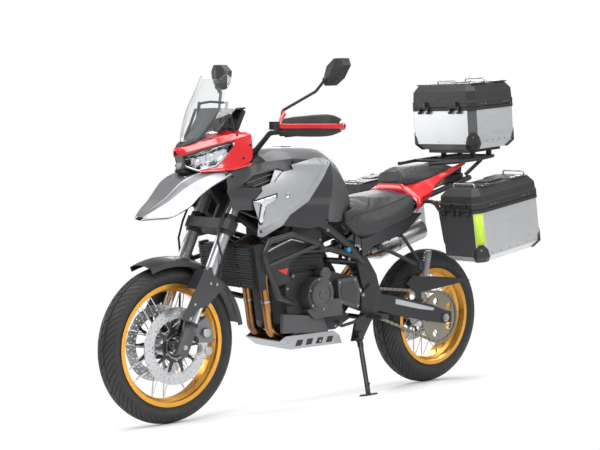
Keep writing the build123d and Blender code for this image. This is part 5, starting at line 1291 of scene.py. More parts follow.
def dress_box(label, place, length, inner, outer, chamfers, depth, lid, hinges, handles, dark_front,
              flipped):
    """One aluminium box: hollow body, guards, rivets and hinges, and its hollow lid."""
    box, cover = label + "_box", label + "_lid"
    side = -1 if flipped else 1
    plan = lambda inset_by: box_plan(length, inner, outer, chamfers, inset_by)
    at = lambda x, y, z: place @ Vector((x, side * y, z))
    axis = place.to_3x3()
    middle = (inner + outer) / 2
    hub = at(-length / 2, middle, -depth / 2)

    bm = bmesh.new()
    rings = box_rings(bm, place, ((-2, 0), (-(depth - 28), 0), (-depth, 28)), plan, flipped)
    bm.faces.new(rings[-1])
    face_away(bm, hub)
    forward, outward = axis @ Vector((1, 0, 0)), axis @ Vector((0, side, 0))
    bm.normal_update()
    for face in bm.faces:
        lean = face.normal.dot(forward)
        if dark_front and lean > 0.8:
            face.material_index = 1
        elif not dark_front and 0.4 < abs(lean) < 0.85 and abs(face.normal.z) < 0.4:
            face.material_index = 2
    piece = finish_piece(box + "_walls", bm, box, ("box aluminium", "box front panel", "grey plastic"),
                       24.0, (box,), outward=False)
    add_wall(piece, 2.5)
    add_bevel(piece, 1.6, 2)

    bm = bmesh.new()
    out = -3.2
    corners = plan(0)
    count = len(corners)
    for i in range(count):
        j = (i + 1) % count
        a, b = Vector(corners[i]), Vector(corners[j])
        if abs((b - a).x) < 1 or abs((b - a).y) < 1:
            continue
        rows = []
        for z, wide, slide in ((-depth + 84, 0.5, 0), (-depth + 62, 1.0, 10), (-depth + 26, 1.0, 20),
                               (-depth - 2, 1.0, 20)):
            ring = plan(out if z > -depth + 10 else 25)
            a, b = Vector(ring[i]), Vector(ring[j])
            before = (Vector(ring[i - 1]) - a).normalized()
            after = (Vector(ring[(j + 1) % count]) - b).normalized()
            half_way = (a + b) / 2
            a, b = half_way.lerp(a, wide), half_way.lerp(b, wide)
            rows.append([at(*p, z) for p in (a + before * slide, a, b, b + after * slide)])
        sheet(rows, bm)
    face_away(bm, hub)
    piece = finish_piece(box + "_guards", bm, box, "black plastic", 28.0, outward=False)
    add_wall(piece, 3.0)
    add_bevel(piece, 1.2, 2)

    bm = bmesh.new()
    box_rings(bm, place, ((-16, -2.6), (-1, -3.4)), plan, flipped)
    bmesh.ops.recalc_face_normals(bm, faces=bm.faces)
    piece = finish_piece(box + "_rim", bm, box, "black plastic", 28.0, outward=False)
    add_wall(piece, 2.2, 0.0)
    add_bevel(piece, 0.8)

    bm = bmesh.new()
    for y in hinges:
        for low, high in ((y - 34, y - 20), (y + 20, y + 34)):
            block(bm, (0.4, side * low, -30), (17, side * high, -2), place)
            lathe(bm, at(10, low, 0), outward, [(0, 4.8), (1, 5.8), (13, 5.8), (14, 4.8)], 18)
    add_bevel(finish_piece(box + "_hinges", bm, box, "black plastic", 28.0), 1.6)

    bm = bmesh.new()
    levels = ((1, -3.6), (26, -3.6), (29, -0.5), (lid - 34, 2), (lid - 8, 24), (lid - 2, 30))
    rings = box_rings(bm, place, levels, plan, flipped)
    bm.faces.new(rings[-1])
    face_away(bm, at(-length / 2, middle, 10))
    piece = finish_piece(cover + "_cover", bm, cover, "black plastic", 24.0, (cover,), outward=False)
    add_wall(piece, 3.0)
    add_bevel(piece, 2.4, 3, 18.0)

    bm = bmesh.new()
    for centre in (-0.26 * length, -0.74 * length):
        block(bm, (centre - 46, side * (inner + 24), lid - 5), (centre + 46, side * (outer - 24), lid + 1.5), place)
    block(bm, (-length * 0.62, side * middle - 34, lid - 4), (-length * 0.38, side * middle + 34, lid + 5), place)
    for y in hinges:
        block(bm, (-1.5, side * y - 19, 2), (17, side * y + 19, 28), place)
        lathe(bm, at(10, y - 19, 0), outward, [(0, 5.4), (1, 6.4), (37, 6.4), (38, 5.4)], 18)
    add_bevel(finish_piece(cover + "_pads", bm, cover, "black plastic", 28.0), 3.0, 3)

    bm = bmesh.new()
    for centre in (-0.26 * length, -0.74 * length):
        for dx in (-20, 20):
            block(bm, (centre + dx - 13, side * (outer - 64), lid - 4),
                  (centre + dx + 13, side * (outer - 30), lid + 3.2), place)
    for y in hinges:
        for dy in (-9.5, 9.5):
            block(bm, (10, side * (y + dy) - 5.5, 6), (18.4, side * (y + dy) + 5.5, 25), place)
    add_bevel(finish_piece(cover + "_grips", bm, cover, "gloss black plastic", 28.0), 1.5)

    bm = bmesh.new()
    for x in handles:
        tube(bm, [at(x, middle - 62, lid - 4), at(x, middle - 62, lid + 16), at(x, middle + 62, lid + 16),
                  at(x, middle + 62, lid - 4)], 3.6, 10, 12)
    finish_piece(cover + "_handles", bm, cover, "silver frame trim", 60.0)

    spots = [(at(-length * (0.16 + 0.136 * k), outer + 0.4, 40 - depth), outward) for k in range(6)]
    spots += [(at(0.4, inner + 30 + (outer - inner - 90) * k / 2, 40 - depth), forward) for k in range(3)]
    spots += [(at(17, y + dy, -16), forward) for y in hinges for dy in (-27, 27)]
    cut = [(a + b) / 2 + 2.2 for a, b in zip(corners[1], corners[2])]
    spots.append((at(*cut, 60 - depth), axis @ Vector((1, side, 0))))
    fasteners(box + "_rivets", spots, 3.4, 2.0, box, "bare steel", 12)
    spots = [(at(-length * x, outer + 3.4, 14), outward) for x in (0.2, 0.26, 0.3, 0.7, 0.74, 0.8)]
    fasteners(cover + "_rivets", spots, 3.2, 2.0, cover, "bare steel", 12)


class BIKE_OT_luggage(bpy.types.Operator):
    """The three aluminium boxes with their lids, guards, hinges and handles"""
    bl_idname = "bike.luggage"
    bl_label = "Luggage"

    def execute(self, context):
        dress_box("left", SIDE_BOX, 440, 268, 490, 2, 246, 95, (320, 408), (-46, -394), True, False)
        dress_box("right", SIDE_BOX, 440, 268, 490, 2, 246, 95, (320, 408), (-46, -394), True, True)
        dress_box("top", TOP_BOX, 321, -206, 206, 4, 205, 110, (-100, 100), (-60, -262), False, False)
        bm = bmesh.new()
        strip = [(-1.2, 490 - 30.8), (-30.8, 490 - 1.2)]
        rows = [[SIDE_BOX @ Vector((x + 0.7, y + 0.7, z)) for x, y in strip] for z in (-18, -172)]
        sheet(rows, bm)
        face_towards(bm, (0.7, 0.7, 0))
        piece = finish_piece("lime_strip", bm, "left_box", "lime plastic", outward=False)
        add_wall(piece, 0.8, 1.0)
        rounded_copy("luggage_racks", "frame black", 1.2, 2, name="rack_tubes")
        return {"FINISHED"}


# ---------------------------------------------------------------- seats
def plain_mesh(piece):
    """Keeps what the modifiers have made as the piece's own mesh."""
    ready = piece.evaluated_get(bpy.context.evaluated_depsgraph_get())
    mesh = bpy.data.meshes.new_from_object(ready)
    piece.modifiers.clear()
    piece.data = mesh


def swell(piece, limit, held):
    """Lets a padded form puff up under cloth pressure, moving no point past the limit."""
    rest = [v.co.copy() for v in piece.data.vertices]
    inverse = PARK.inverted()
    group = piece.vertex_groups.new(name="held")
    group.add([v.index for v in piece.data.vertices if held(inverse @ v.co)], 1.0, "REPLACE")
    cloth = piece.modifiers.new("cloth", "CLOTH")
    cloth.settings.use_pressure = True
    cloth.settings.uniform_pressure_force = 4.0
    cloth.settings.effector_weights.gravity = 0.0
    cloth.settings.vertex_group_mass = "held"
    cloth.settings.quality = 6
    cloth.settings.tension_stiffness = cloth.settings.compression_stiffness = 25.0
    scene = bpy.context.scene
    for number in range(1, 21):
        scene.frame_set(number)
    plain_mesh(piece)
    for vert, start in zip(piece.data.vertices, rest):
        move = vert.co - start
        if move.length > limit * MM:
            vert.co = start + move.normalized() * limit * MM
    piece.vertex_groups.clear()
    scene.frame_set(1)


def padded(name, lofts, node, limit, held):
    bm = bmesh.new()
    for sections in lofts:
        loft(bm, sections)
    bmesh.ops.recalc_face_normals(bm, faces=bm.faces)
    piece = finish_piece(name, bm, node, "seat cover", 80.0, (node,))
    even = piece.modifiers.new("even", "REMESH")
    even.mode = "VOXEL"
    even.voxel_size = 0.006
    plain_mesh(piece)
    even = piece.modifiers.new("ease", "SMOOTH")
    even.iterations = 5
    plain_mesh(piece)
    swell(piece, limit, held)
    even = piece.modifiers.new("ease", "SMOOTH")
    even.iterations = 2
    plain_mesh(piece)
    piece.data.shade_smooth()
    smoothing = piece.modifiers.new("smooth", "SUBSURF")
    smoothing.levels = smoothing.render_levels = 1
    return piece


STITCH = 3  # points of a seam line in one stitch


def seam(name, piece, lines, finish, radius, lift, dashed=False):
    """Piping laid on a piece: each line is (points, direction it is dropped in)."""
    tree = BVHTree.FromObject(piece, bpy.context.evaluated_depsgraph_get())
    inverse = PARK.inverted()
    turn = PARK.to_3x3().normalized()
    bm = bmesh.new()
    for points, direction in lines:
        path = []
        fine = [spline([Vector(p) for p in points], k / 6) for k in range((len(points) - 1) * 6 + 1)]
        for point in fine:
            start = PARK @ (point - Vector(direction) * 60)
            hit, normal, _, _ = tree.ray_cast(start, turn @ Vector(direction).normalized(), 0.2)
            if hit:
                path.append(inverse @ (hit + normal * lift * MM))
        if len(path) > 3:
            if not dashed:
                tube(bm, path, radius, count=8)
                continue
            run = [path[0]]
            for a, b in zip(path, path[1:]):
                parts = max(int((b - a).length / 2), 1)
                run += [a.lerp(b, (k + 1) / parts) for k in range(parts)]
            for k in range(0, len(run) - STITCH, STITCH + 2):
                tube(bm, run[k:k + STITCH], radius, count=6)
    finish_piece(name, bm, "rider_seat", finish, 60.0)


SADDLE = [  # x, outer y, low edge, seam, top, then the shoulder's y and z, and the floor
    (-180, 142, 744, 826, 888, 84, 874, 836), (-212, 150, 724, 836, 893, 92, 879, 838),
    (-245, 156, 722, 843, 898, 102, 885, 842), (-290, 163, 738, 852, 904, 112, 890, 846),
    (-340, 168, 756, 863, 909, 120, 896, 850), (-400, 173, 778, 881, 916, 126, 902, 854),
    (-450, 176, 796, 896, 922, 128, 908, 860), (-490, 177, 812, 905, 926, 124, 913, 866),
    (-514, 174, 830, 906, 925, 116, 914, 870), (-521, 166, 846, 900, 918, 106, 908, 872)]
NOSES = [  # x, outer y, low edge, high edge of the saddle's front corners beside the tank
    (-122, 128, 794, 846), (-144, 136, 772, 858), (-172, 142, 746, 866), (-204, 146, 728, 858),
    (-240, 150, 726, 846)]
PILLION = [  # x, half width, top, edge, floor
    (-531, 84, 1008, 992, 956), (-537, 90, 1022, 1000, 953), (-560, 100, 1030, 1003, 954),
    (-600, 116, 1035, 1007, 962), (-680, 122, 1040, 1014, 976), (-740, 114, 1043, 1022, 990),
    (-820, 98, 1045, 1031, 1008), (-866, 82, 1044, 1037, 1022), (-878, 70, 1040, 1036, 1026)]
WRAP = [  # y, x and z of the red bridge's top and foot before the passenger's cushion
    (0, -527, 962, 922), (50, -527, 961, 921), (82, -527, 957, 919), (102, -527, 938, 914),
    (122, -526, 922, 908)]


def saddle_ring(row):
    """Half of the saddle's cross-section, from the floor's middle round to the top's."""
    x, out, low, seam, top, shoulder, crest, floor = row
    return [(x, y, z) for y, z in (
        (0, floor), (out - 34, floor), (out - 28, low + 10), (out - 22, low), (out - 6, low), (out, low + 16),
        (out + 1, (low + seam) / 2), (out - 3, seam), ((out + shoulder) / 2, (seam + crest) / 2 + 4),
        (shoulder, crest), (shoulder * 0.5, top), (0, top + 2))]


def cushion_ring(row):
    x, half, top, edge, floor = row
    return [(x, y, z) for y, z in (
        (0, floor), (half * 0.6, floor), (half * 0.92, floor + 2), (half, floor + 12), (half, edge - 4),
        (half * 0.9, edge + 4), (half * 0.55, top - 2), (0, top))]


def both_halves(rings):
    return [row + flip(row[-2:0:-1]) for row in dense(rings, 2, 2)]


class BIKE_OT_seats(bpy.types.Operator):
    """Padded rider's and passenger's seats with their seams"""
    bl_idname = "bike.seats"
    bl_label = "Seats"

    def execute(self, context):
        corner = dense([[(x, y - 24, low + 4), (x, y - 5, low), (x, y, low + 14), (x, y, high - 14),
                         (x, y - 8, high), (x, y - 24, high - 4)] for x, y, low, high in NOSES], 2, 1)
        rider = padded("rider_cushion", [both_halves([saddle_ring(row) for row in SADDLE]), corner,
                                         [flip(row) for row in corner]],
                       "rider_seat", 7.0, lambda p: p.x > -176 or abs(p.y) < 130 and p.z < 873)
        pillion = padded("passenger_cushion", [both_halves([cushion_ring(row) for row in PILLION])],
                         "pillion_seat", 7.0, lambda p: p.z < 956 + (-533 - p.x) * 0.205)
        seam_line = [(-132, 800), (-172, 827), (-240, 842), (-332, 861), (-413, 885), (-482, 906)]
        stitches, piping = ([([(x, side * 185, z + up) for x, z in seam_line], (0, -side, 0)) for side in SIDES]
                            for up in (0, 4))
        seam("rider_seams", rider, stitches, "seam thread", 1.2, 0.4, True)
        ridge = [(x, half * 0.9, 1060) for x, half, *_ in PILLION[2:-1]]
        seam("passenger_seams", pillion, [(ridge, (0, 0, -1)), (flip(ridge), (0, 0, -1))], "seam thread",
             1.1, 0.3, True)
        seam("rider_piping", rider, piping, "soft rubber", 1.8, 0.2)
        bm = bmesh.new()
        half = [[(x - 4, y, top + 3), (x + 2, y, top - 4), (x + 4, y, (top + foot) / 2), (x + 2, y, foot)]
                for y, x, top, foot in WRAP]
        sheet(dense(half, 3, 2), bm)
        shell("seat_bridge", bm, "nose_cowl", "red paint", (1, 0, 0), bevel=0.8)
        return {"FINISHED"}


# ---------------------------------------------------------------- wheels
def crown_radius(radius, crown, y):
    return radius - crown + math.sqrt(max(crown * crown - y * y, 0))


def tread_block(bm, axle, radius, crown, y_from, y_to, a_from, a_to, slant, depth):
    """One block of tread: a patch of the crown between slanted grooves."""
    def at(share, turn, sink):
        y = y_from + (y_to - y_from) * share
        lean = slant * (abs(y) / 50.0) ** 1.4
        angle = turn + lean
        r = crown_radius(radius, crown, y) - sink
        return Vector((axle[0] + r * math.cos(angle), y, axle[2] + r * math.sin(angle)))
    top = [[at(i / 4, a_from + (a_to - a_from) * j / 3, 0.4) for i in range(5)] for j in range(4)]
    rings = rings_of(bm, top)
    for low, high in zip(rings, rings[1:]):
        for i in range(4):
            bm.faces.new((low[i], low[i + 1], high[i + 1], high[i]))
    border = rings[0] + [row[-1] for row in rings[1:]] + rings[-1][-2::-1] + [row[0] for row in rings[-2:0:-1]]
    centre = Vector((axle[0], 0, axle[2]))
    base = []
    for vert in border:
        inward = (centre - Vector((vert.co.x, 0, vert.co.z))).normalized()
        base.append(bm.verts.new(vert.co + inward * (depth + 1.2)))
    join_rings(bm, [border, base])


def dress_tyre(label, axle, radius, width, crown, rim_radius, rim_width, pitches, node):
    depth = sizes().tread_depth
    half = width / 2
    shoulder = crown_radius(radius, crown, half)
    bead = rim_width / 2 - 5
    profile = [(-bead + 2, rim_radius - 6), (-bead - 3, rim_radius + 4), (-bead - 8, rim_radius + 9),
               (-(bead + half) / 2 - 3, (rim_radius + shoulder) / 2 - 4), (-half + 0.4, shoulder - 14),
               (-half + 0.2, shoulder - 4)]
    for k in range(17):
        y = -half + 1 + (2 * half - 2) * k / 16
        profile.append((y, crown_radius(radius, crown, y) - depth * (0.3 if abs(y) > half - 3 else 1)))
    profile += [(-a, r) for a, r in reversed(profile[:6])]
    bm = bmesh.new()
    lathe(bm, axle, (0, 1, 0), profile, 96, closed=True)
    finish_piece(label + "_tyre_body", bm, node, "tyre rubber", 40.0, (node,))
    bm = bmesh.new()
    pitch = math.tau / pitches
    for side in SIDES:
        shift = 0 if side > 0 else pitch / 2
        for y_from, y_to, a_from, a_to in ((1.6, half * 0.34, 0.04, 0.95), (half * 0.40, half * 0.96, 0.06, 0.5),
                                           (half * 0.40, half * 0.96, 0.57, 0.99)):
            tread_block(bm, axle, radius, crown, side * y_from, side * y_to, shift + a_from * pitch,
                        shift + a_to * pitch, pitch * 0.22 / 0.18, depth)
    spun(label + "_tread", bm, pitches, axle, node, "tyre rubber", 30.0)
    bm = bmesh.new()
    for side in SIDES:
        for share, size in ((0.2, 1.2), (0.36, 0.8), (0.86, 1.0)):
            r = rim_radius + 9 + (shoulder - rim_radius - 12) * share
            y = side * (bead + 8 + (half - bead - 8) * min(share * 1.5, 1) - 1.5)
            lathe(bm, axle, (0, 1, 0), [(y - size, r - 2), (y + side * size, r), (y - size, r + 2)], 96, closed=True)
    finish_piece(label + "_side_rings", bm, node, "tyre rubber", 50.0)


def drilled_disc(label, axle, y, outer, inner, thick, node, facing, replaced):
    """A brake disc made of equal sectors, each with staggered holes."""
    cells = sizes().disc_cells
    step = math.tau / cells
    at = lambda r, a, shift: (axle[0] + r * math.cos(a), y + shift, axle[2] + r * math.sin(a))
    bm = bmesh.new()
    rows = 3
    wide = (outer - inner) / rows
    for number in range(rows):
        r0, r1 = inner + wide * number, inner + wide * (number + 1)
        shift = (0.3, 0.7, 0.5)[number]
        rc, ac = (r0 + r1) / 2, step * shift
        frame_points = [(r0, 0), (r0, step * 0.5), (r0, step), (rc, step), (r1, step), (r1, step * 0.5),
                        (r1, 0), (rc, 0)]
        hole = []
        for r, a in frame_points:
            dx, dy = (r - rc), (a - ac) * rc
            far = math.hypot(dx, dy)
            hole.append((rc + dx / far * 3.3, ac + dy / far * 3.3 / rc))
        faces = []
        for z in (-thick / 2, thick / 2):
            faces.append(rings_of(bm, [[at(r, a, z) for r, a in ring] for ring in (frame_points, hole)]))
            join_rings(bm, faces[-1])
        (low, low_hole), (high, high_hole) = faces
        join_rings(bm, [low_hole, high_hole])
        for k in {0: (0, 1), rows - 1: (4, 5)}.get(number, ()):
            bm.faces.new((low[k], low[k + 1], high[k + 1], high[k]))
    spun(label + "_rotor", bm, cells, axle, node, "disc steel", 30.0, replaced, 0.02)
    bm = bmesh.new()
    arms = 10
    reach = inner + 3
    arm = [(-9, 62), (-5, reach - 14), (-9, reach), (9, reach), (5, reach - 14), (9, 62)]
    prism(bm, [(axle[0] + r, axle[2] + t) for t, r in arm], y - 3 - facing * 3, y + 3 - facing * 3)
    spun(label + "_carrier_arms", bm, arms, axle, node, "gloss black plastic", 30.0)
    bm = bmesh.new()
    lathe(bm, (axle[0], y - facing * 3, axle[2]), (0, 1, 0), [(-4, 46), (-4, 66), (-2, 68), (2, 68), (4, 66), (4, 46)],
          48, closed=True)
    lathe(bm, (axle[0], y - facing * 3, axle[2]), (0, facing, 0), [(-16, 40), (4.5, 40), (6, 42), (6, 50), (4, 52)],
          48, closed=True)
    finish_piece(label + "_carrier", bm, node, "gloss black plastic")
    spots = [(at(inner + 1, a, facing * thick / 2), (0, facing, 0)) for a in turns(arms)]
    fasteners(label + "_bobbins", spots, 6.5, 2.4, node, "bare steel")
    spots = [(at(57, a, facing * 1.2), (0, facing, 0)) for a in turns(6, 0.5)]
    fasteners(label + "_disc_bolts", spots, 5.0, 3.0, node, "bare steel")


class BIKE_OT_wheels(bpy.types.Operator):
    """Tyres with their tread, drilled discs and the rims' small parts"""
    bl_idname = "bike.wheels"
    bl_label = "Wheels"

    def execute(self, context):
        s = sizes()
        dress_tyre("front", FRONT_AXLE, 329, 110, 58, 255, 84, s.front_lugs, "front_tyre")
        dress_tyre("rear", REAR_AXLE, 321, 150, 78, 232, 124, s.rear_lugs, "rear_tyre")
        for side in SIDES:
            drilled_disc("front_left" if side > 0 else "front_right", FRONT_AXLE, side * 64, 160, 113, 5,
                         "front_discs", side, ("front_discs",) if side > 0 else ())
        drilled_disc("rear", REAR_AXLE, -88, 130, 93, 5, "rear_disc", -1, ("rear_disc",))
        for label, axle, radius, node, count in (("front", FRONT_AXLE, 240, "front_rim", 36),
                                                 ("rear", REAR_AXLE, 216, "rear_rim", 36)):
            bm = bmesh.new()
            lathe(bm, (axle[0] + radius - 8, 12, axle[2]), (1, 0, 0), [(0, 2.2), (10, 2.6), (13, 3.4), (15, 3.4)], 10)
            lathe(bm, (axle[0] + (radius - 8) * math.cos(0.09), -12, axle[2] + (radius - 8) * math.sin(0.09)),
                  (math.cos(0.09), 0, math.sin(0.09)), [(0, 2.2), (10, 2.6), (13, 3.4), (15, 3.4)], 10)
            spun(label + "_nipples", bm, count // 2, axle, node, "bare steel")
            bm = bmesh.new()
            rod(bm, (axle[0] - radius + 2, 20, axle[2]), (axle[0] - radius + 34, 20, axle[2]), 4, 12)
            finish_piece(label + "_valve", bm, node, "soft rubber")
        bm = bmesh.new()
        block(bm, (FRONT_AXLE[0] + 47, 66.5, FRONT_AXLE[2] - 2.2), (FRONT_AXLE[0] + 55, 70, FRONT_AXLE[2] + 2.2))
        spun("speed_ring", bm, 40, FRONT_AXLE, "front_discs", "bare steel")
        return {"FINISHED"}


# ---------------------------------------------------------------- metalwork
ROUNDED = (  # node, finish, width of the rounded edges in mm
    ("main_frame", "frame black", 1.6), ("engine_block", "engine black", 2.5),
    ("engine_covers", "engine grey", 2.5), ("swingarm", "engine black", 3.0),
    ("triple_clamps", "engine black", 3.0), ("front_calipers", "dark silver paint", 3.0),
    ("rear_caliper", "dark silver paint", 3.0),
    ("side_stand", "frame black", 1.5), ("chain_guard", "black plastic", 1.2),
    ("skid_plate", "plate aluminium", 1.5), ("front_fender", "satin graphite", 1.4),
    ("silencer", "silencer steel", 2.0), ("controls", "black plastic", 1.4),
    ("radiator", "black plastic", 1.0))
UP_FORK = Vector((-math.sin(RAKE), 0, math.cos(RAKE)))


class BIKE_OT_metalwork(bpy.types.Operator):
    """Rounded edges on the cast and folded parts, with their bolts"""
    bl_idname = "bike.metalwork"
    bl_label = "Metalwork"

    def execute(self, context):
        for node, finish, width in ROUNDED:
            rounded_copy(node, finish, width)
        rounded_copy("dark_panels", "satin graphite", 1.5, name="under_seat_covers",
                     drop=lambda p: p.x > -100)
        rounded_copy("footrests", "engine black", 1.5, drop=lambda p: p.x < -290)
        hangers = bmesh.new()
        pegs = bmesh.new()
        for side in SIDES:
            lathe(hangers, (-312, side * 146, 684), (0, side, 0), [(0, 16), (13, 16), (15, 14), (15, 0)], 24)
            lathe(hangers, (-446, side * 140, 734), (0, side, 0), [(0, 14), (14, 14), (16, 12), (16, 0)], 24)
            tube(hangers, [(-312, side * 154, 684), (-336, side * 166, 673), (-498, side * 224, 592)], 9, 20, 12)
            tube(hangers, [(-446, side * 150, 734), (-454, side * 164, 720), (-504, side * 226, 600)], 8, 20, 12)
            prism(hangers, [(-486, 612), (-480, 584), (-504, 566), (-526, 578), (-524, 606)], side * 214, side * 238)
            prism(pegs, [(-504, 543), (-532, 543), (-556, 660), (-528, 660)], side * 230, side * 242)
            for k in range(10):
                x, z = -2.4 * k, 546 + 11.6 * k
                prism(pegs, [(x - 505, z), (x - 531, z), (x - 532.4, z + 6), (x - 506.4, z + 6)],
                      side * 240, side * 249)
                prism(pegs, [(x - 496, z + 1), (x - 507, z), (x - 508, z + 6)], side * 231, side * 241)
        add_bevel(finish_piece("passenger_hangers", hangers, "footrests", "engine black"), 1.5)
        finish_piece("passenger_pegs", pegs, "footrests", "bare steel")
        bm = bmesh.new()
        lathe(bm, (76, 190, 500), (0, 1, 0), [(0, 44), (8.6, 44), (8.6, 50), (7, 51), (7, 53), (0, 53)], 48,
              closed=True)
        lathe(bm, (76, 190, 500), (0, 1, 0), [(0, 20), (8.2, 20), (9.4, 18), (9.4, 3)], 32)
        lathe(bm, (38, 172, 586), (0, 1, 0), [(-2, 24), (1.6, 24), (2.6, 22), (2.6, 4)], 32)
        lathe(bm, (-6, -186, 496), (0, -1, 0), [(-2, 46), (2.4, 46), (3.4, 44), (3.4, 34), (1, 33), (1, 4)], 48)
        finish_piece("cover_rings", bm, "engine_covers", "engine grey")
        spots = []
        for a in turns(6, 0.3):
            spots.append(((76 + 66 * math.cos(a), 184, 500 + 66 * math.sin(a)), (0, 1, 0)))
            spots.append(((-6 + 76 * math.cos(a), -172, 496 + 76 * math.sin(a)), (0, -1, 0)))
        spots += [((x, 150, z), (0, 1, 0)) for x, z in ((-64, 540), (-158, 546), (-186, 500), (-176, 426), (-76, 452))]
        for out, places in ((128, ((214, 470), (222, 530), (190, 582), (-20, 580), (-130, 392), (-60, 344),
                                   (40, 344), (150, 344), (204, 384))),
                            (124, ((226, 734), (30, 732), (46, 794), (202, 804)))):
            spots += [((x, side * out, z), (0, side, 0)) for x, z in places for side in SIDES]
        fasteners("engine_bolts", spots, 5.5, 5.0, "engine_block", "bare steel")
        bm = bmesh.new()
        for side in SIDES:
            for z in range(606, 712, 15):
                x_front = 206 + (z - 590) * 26 / 130
                x_back = -10 + (z - 590) * 30 / 130
                block(bm, (x_back - 3, side * 104, z), (x_front + 5, side * 119, z + 4))
            prism(bm, [(214, 742), (50, 742), (62, 788), (196, 798)], side * 122, side * 132)
        add_bevel(finish_piece("cylinder_ribs", bm, "engine_block", "engine black"), 1.4)
        bm = bmesh.new()
        prism(bm, [(-70, 500), (-84, 536), (-150, 540), (-176, 500), (-166, 440), (-86, 462)], 148, 153)
        add_bevel(finish_piece("sprocket_cover_face", bm, "engine_covers", "satin graphite"), 1.6)
        bm = bmesh.new()
        for y in (196.5, -196.5):
            tube(bm, [(388, y, 705), (330, y, 727), (258, y, 749), (190, y, 733)], 3.2, 30, 10)
        finish_piece("shroud_lines", bm, "radiator", "silver frame trim")
        bm = bmesh.new()
        for side in SIDES:
            prism(bm, [(337, 622), (280, 629), (288, 600)], side * 196, side * 199.4)
        finish_piece("shroud_wedges", bm, "radiator", "red paint")
        bm = bmesh.new()
        for side in SIDES:
            for z in (474, 690):
                x = 262 + 36 * (z - 344) / 216 if z < 560 else 298 - 4 * (z - 560) / 182
                lathe(bm, (x, side * 60, z - 5), (0.1 if z < 560 else 0, 0, 1),
                      [(0, 20), (0, 23.4), (10, 23.4), (10, 20)], 32, closed=True)
        finish_piece("header_clamps", bm, "exhaust_headers", "bare steel")
        for size, places in ((7, ((-257, 148, 517), (-248, 148, 411), (-122, 151, 640))), (9, ((8, 152, 776),)),
                             (12, ((-206, 152, 474),))):
            spots = [((x, side * y, z), (0, side, 0)) for side in SIDES for x, y, z in places]
            fasteners("frame_bolts_%d" % size, spots, size, 5.0, "main_frame", "bare steel")
        bm = bmesh.new()
        lathe(bm, (-116, 148, 682), (0, 1, 0), [(0, 11), (10, 11), (12, 9), (12, 3)], 24)
        finish_piece("adjuster_knob", bm, "main_frame", "blue plastic")
        spots = [((x, side * 116, z), (0, side, 0)) for side in SIDES
                 for x, z in ((-80, 284), (20, 284), (120, 284), (206, 292))]
        fasteners("skid_bolts", spots, 5.5, 3.0, "skid_plate", "bare steel")
        bm = bmesh.new()
        for side in SIDES:
            for x in (-60, 0, 60, 120):
                prism(bm, [(x, 300), (x + 34, 300), (x + 46, 274), (x + 12, 274)], side * 115.5, side * 117)
        finish_piece("skid_insets", bm, "skid_plate", "black plastic")
        bm = bmesh.new()
        cell = [(0, -9, 3), (0, -7, 5), (0, 7, 5), (0, 9, 3), (0, 9, -3), (0, 7, -5), (0, -7, -5), (0, -9, -3)]
        for a, b in zip(cell, cell[1:] + cell[:1]):
            rod(bm, a, b, 1.1, 4)
        turn = Matrix.Rotation(math.atan2(28, 179), 4, "Y")
        helper = unit_object("guard_cell_unit", bm, PARK.to_3x3().to_4x4() @ turn)
        cells = [(row * 11, column * 19 + (9.5 if row % 2 else 0)) for row in range(15) for column in range(18)]
        points = [PARK @ Vector((445 + (up + 11) * 28 / 179, across - 166, up + 556)) for up, across in cells
                  if across < 334]
        start = bpy.data.meshes.new("guard_cells_start")
        start.from_pydata(points, [], [])
        grow("guard_cells", start, PLACED, {"Unit": helper}, "radiator", "grey plastic", 40.0)
        bpy.data.objects.remove(helper)
        return {"FINISHED"}


class BIKE_OT_fork(bpy.types.Operator):
    """Fork sleeves, caliper faces and guard bolts"""
    bl_idname = "bike.fork"
    bl_label = "Fork"

    def execute(self, context):
        bm = bmesh.new()
        for side in SIDES:
            for along, profile in (
                    (496, [(0, 27.5), (0, 32), (3, 34), (82, 34), (86, 32), (86, 27.5)]),
                    (758, [(0, 27.5), (0, 31), (2, 32), (38, 32), (40, 31), (40, 27.5)]),
                    (92, [(0, 22), (0, 27), (3, 28.5), (10, 28.5), (13, 27), (13, 22)])):
                lathe(bm, fork_point(along, side * 105), UP_FORK, profile, 40, closed=True)
        finish_piece("fork_sleeves", bm, "triple_clamps", "engine black")
        bm = bmesh.new()
        for side in SIDES:
            lathe(bm, fork_point(100, side * 105), UP_FORK, [(0, 21.6), (0, 22.4), (188, 22.4), (188, 21.6)], 40,
                  closed=True)
        finish_piece("bright_sliders", bm, "fork_sliders", "slider steel")
        bm = bmesh.new()
        for side in SIDES:
            for angle in (-0.05, 0.34):
                x = 770 - 139 * math.cos(angle)
                z = 329 + 139 * math.sin(angle) - (22 if angle < 0 else 0)
                lathe(bm, (x, side * 98, z), (0, side, 0),
                      [(0, 19), (5, 19), (7, 17), (7, 12), (5.5, 11), (5.5, 3)], 28)
        finish_piece("caliper_faces", bm, "front_calipers", "bare steel")
        spots = [((x, side * y, z), (0, side, 0)) for side in SIDES for x, y, z in (
            (665, 137, 647), (645, 137, 583), (727, 137, 503), (751, 137, 447), (613, 137, 577), (770, 128, 329))]
        fasteners("guard_bolts", spots, 6.0, 3.0, "front_fender", "bare steel")
        return {"FINISHED"}


GUARD = [  # y, x of the shield's middle, share of the height above and below
    (476, 236, 0.62, 0.5), (462, 262, 0.92, 0.78), (440, 284, 1.06, 0.95), (400, 305, 1.04, 1.0),
    (358, 324, 0.96, 1.0), (310, 349, 0.86, 0.96), (268, 371, 0.7, 0.8)]


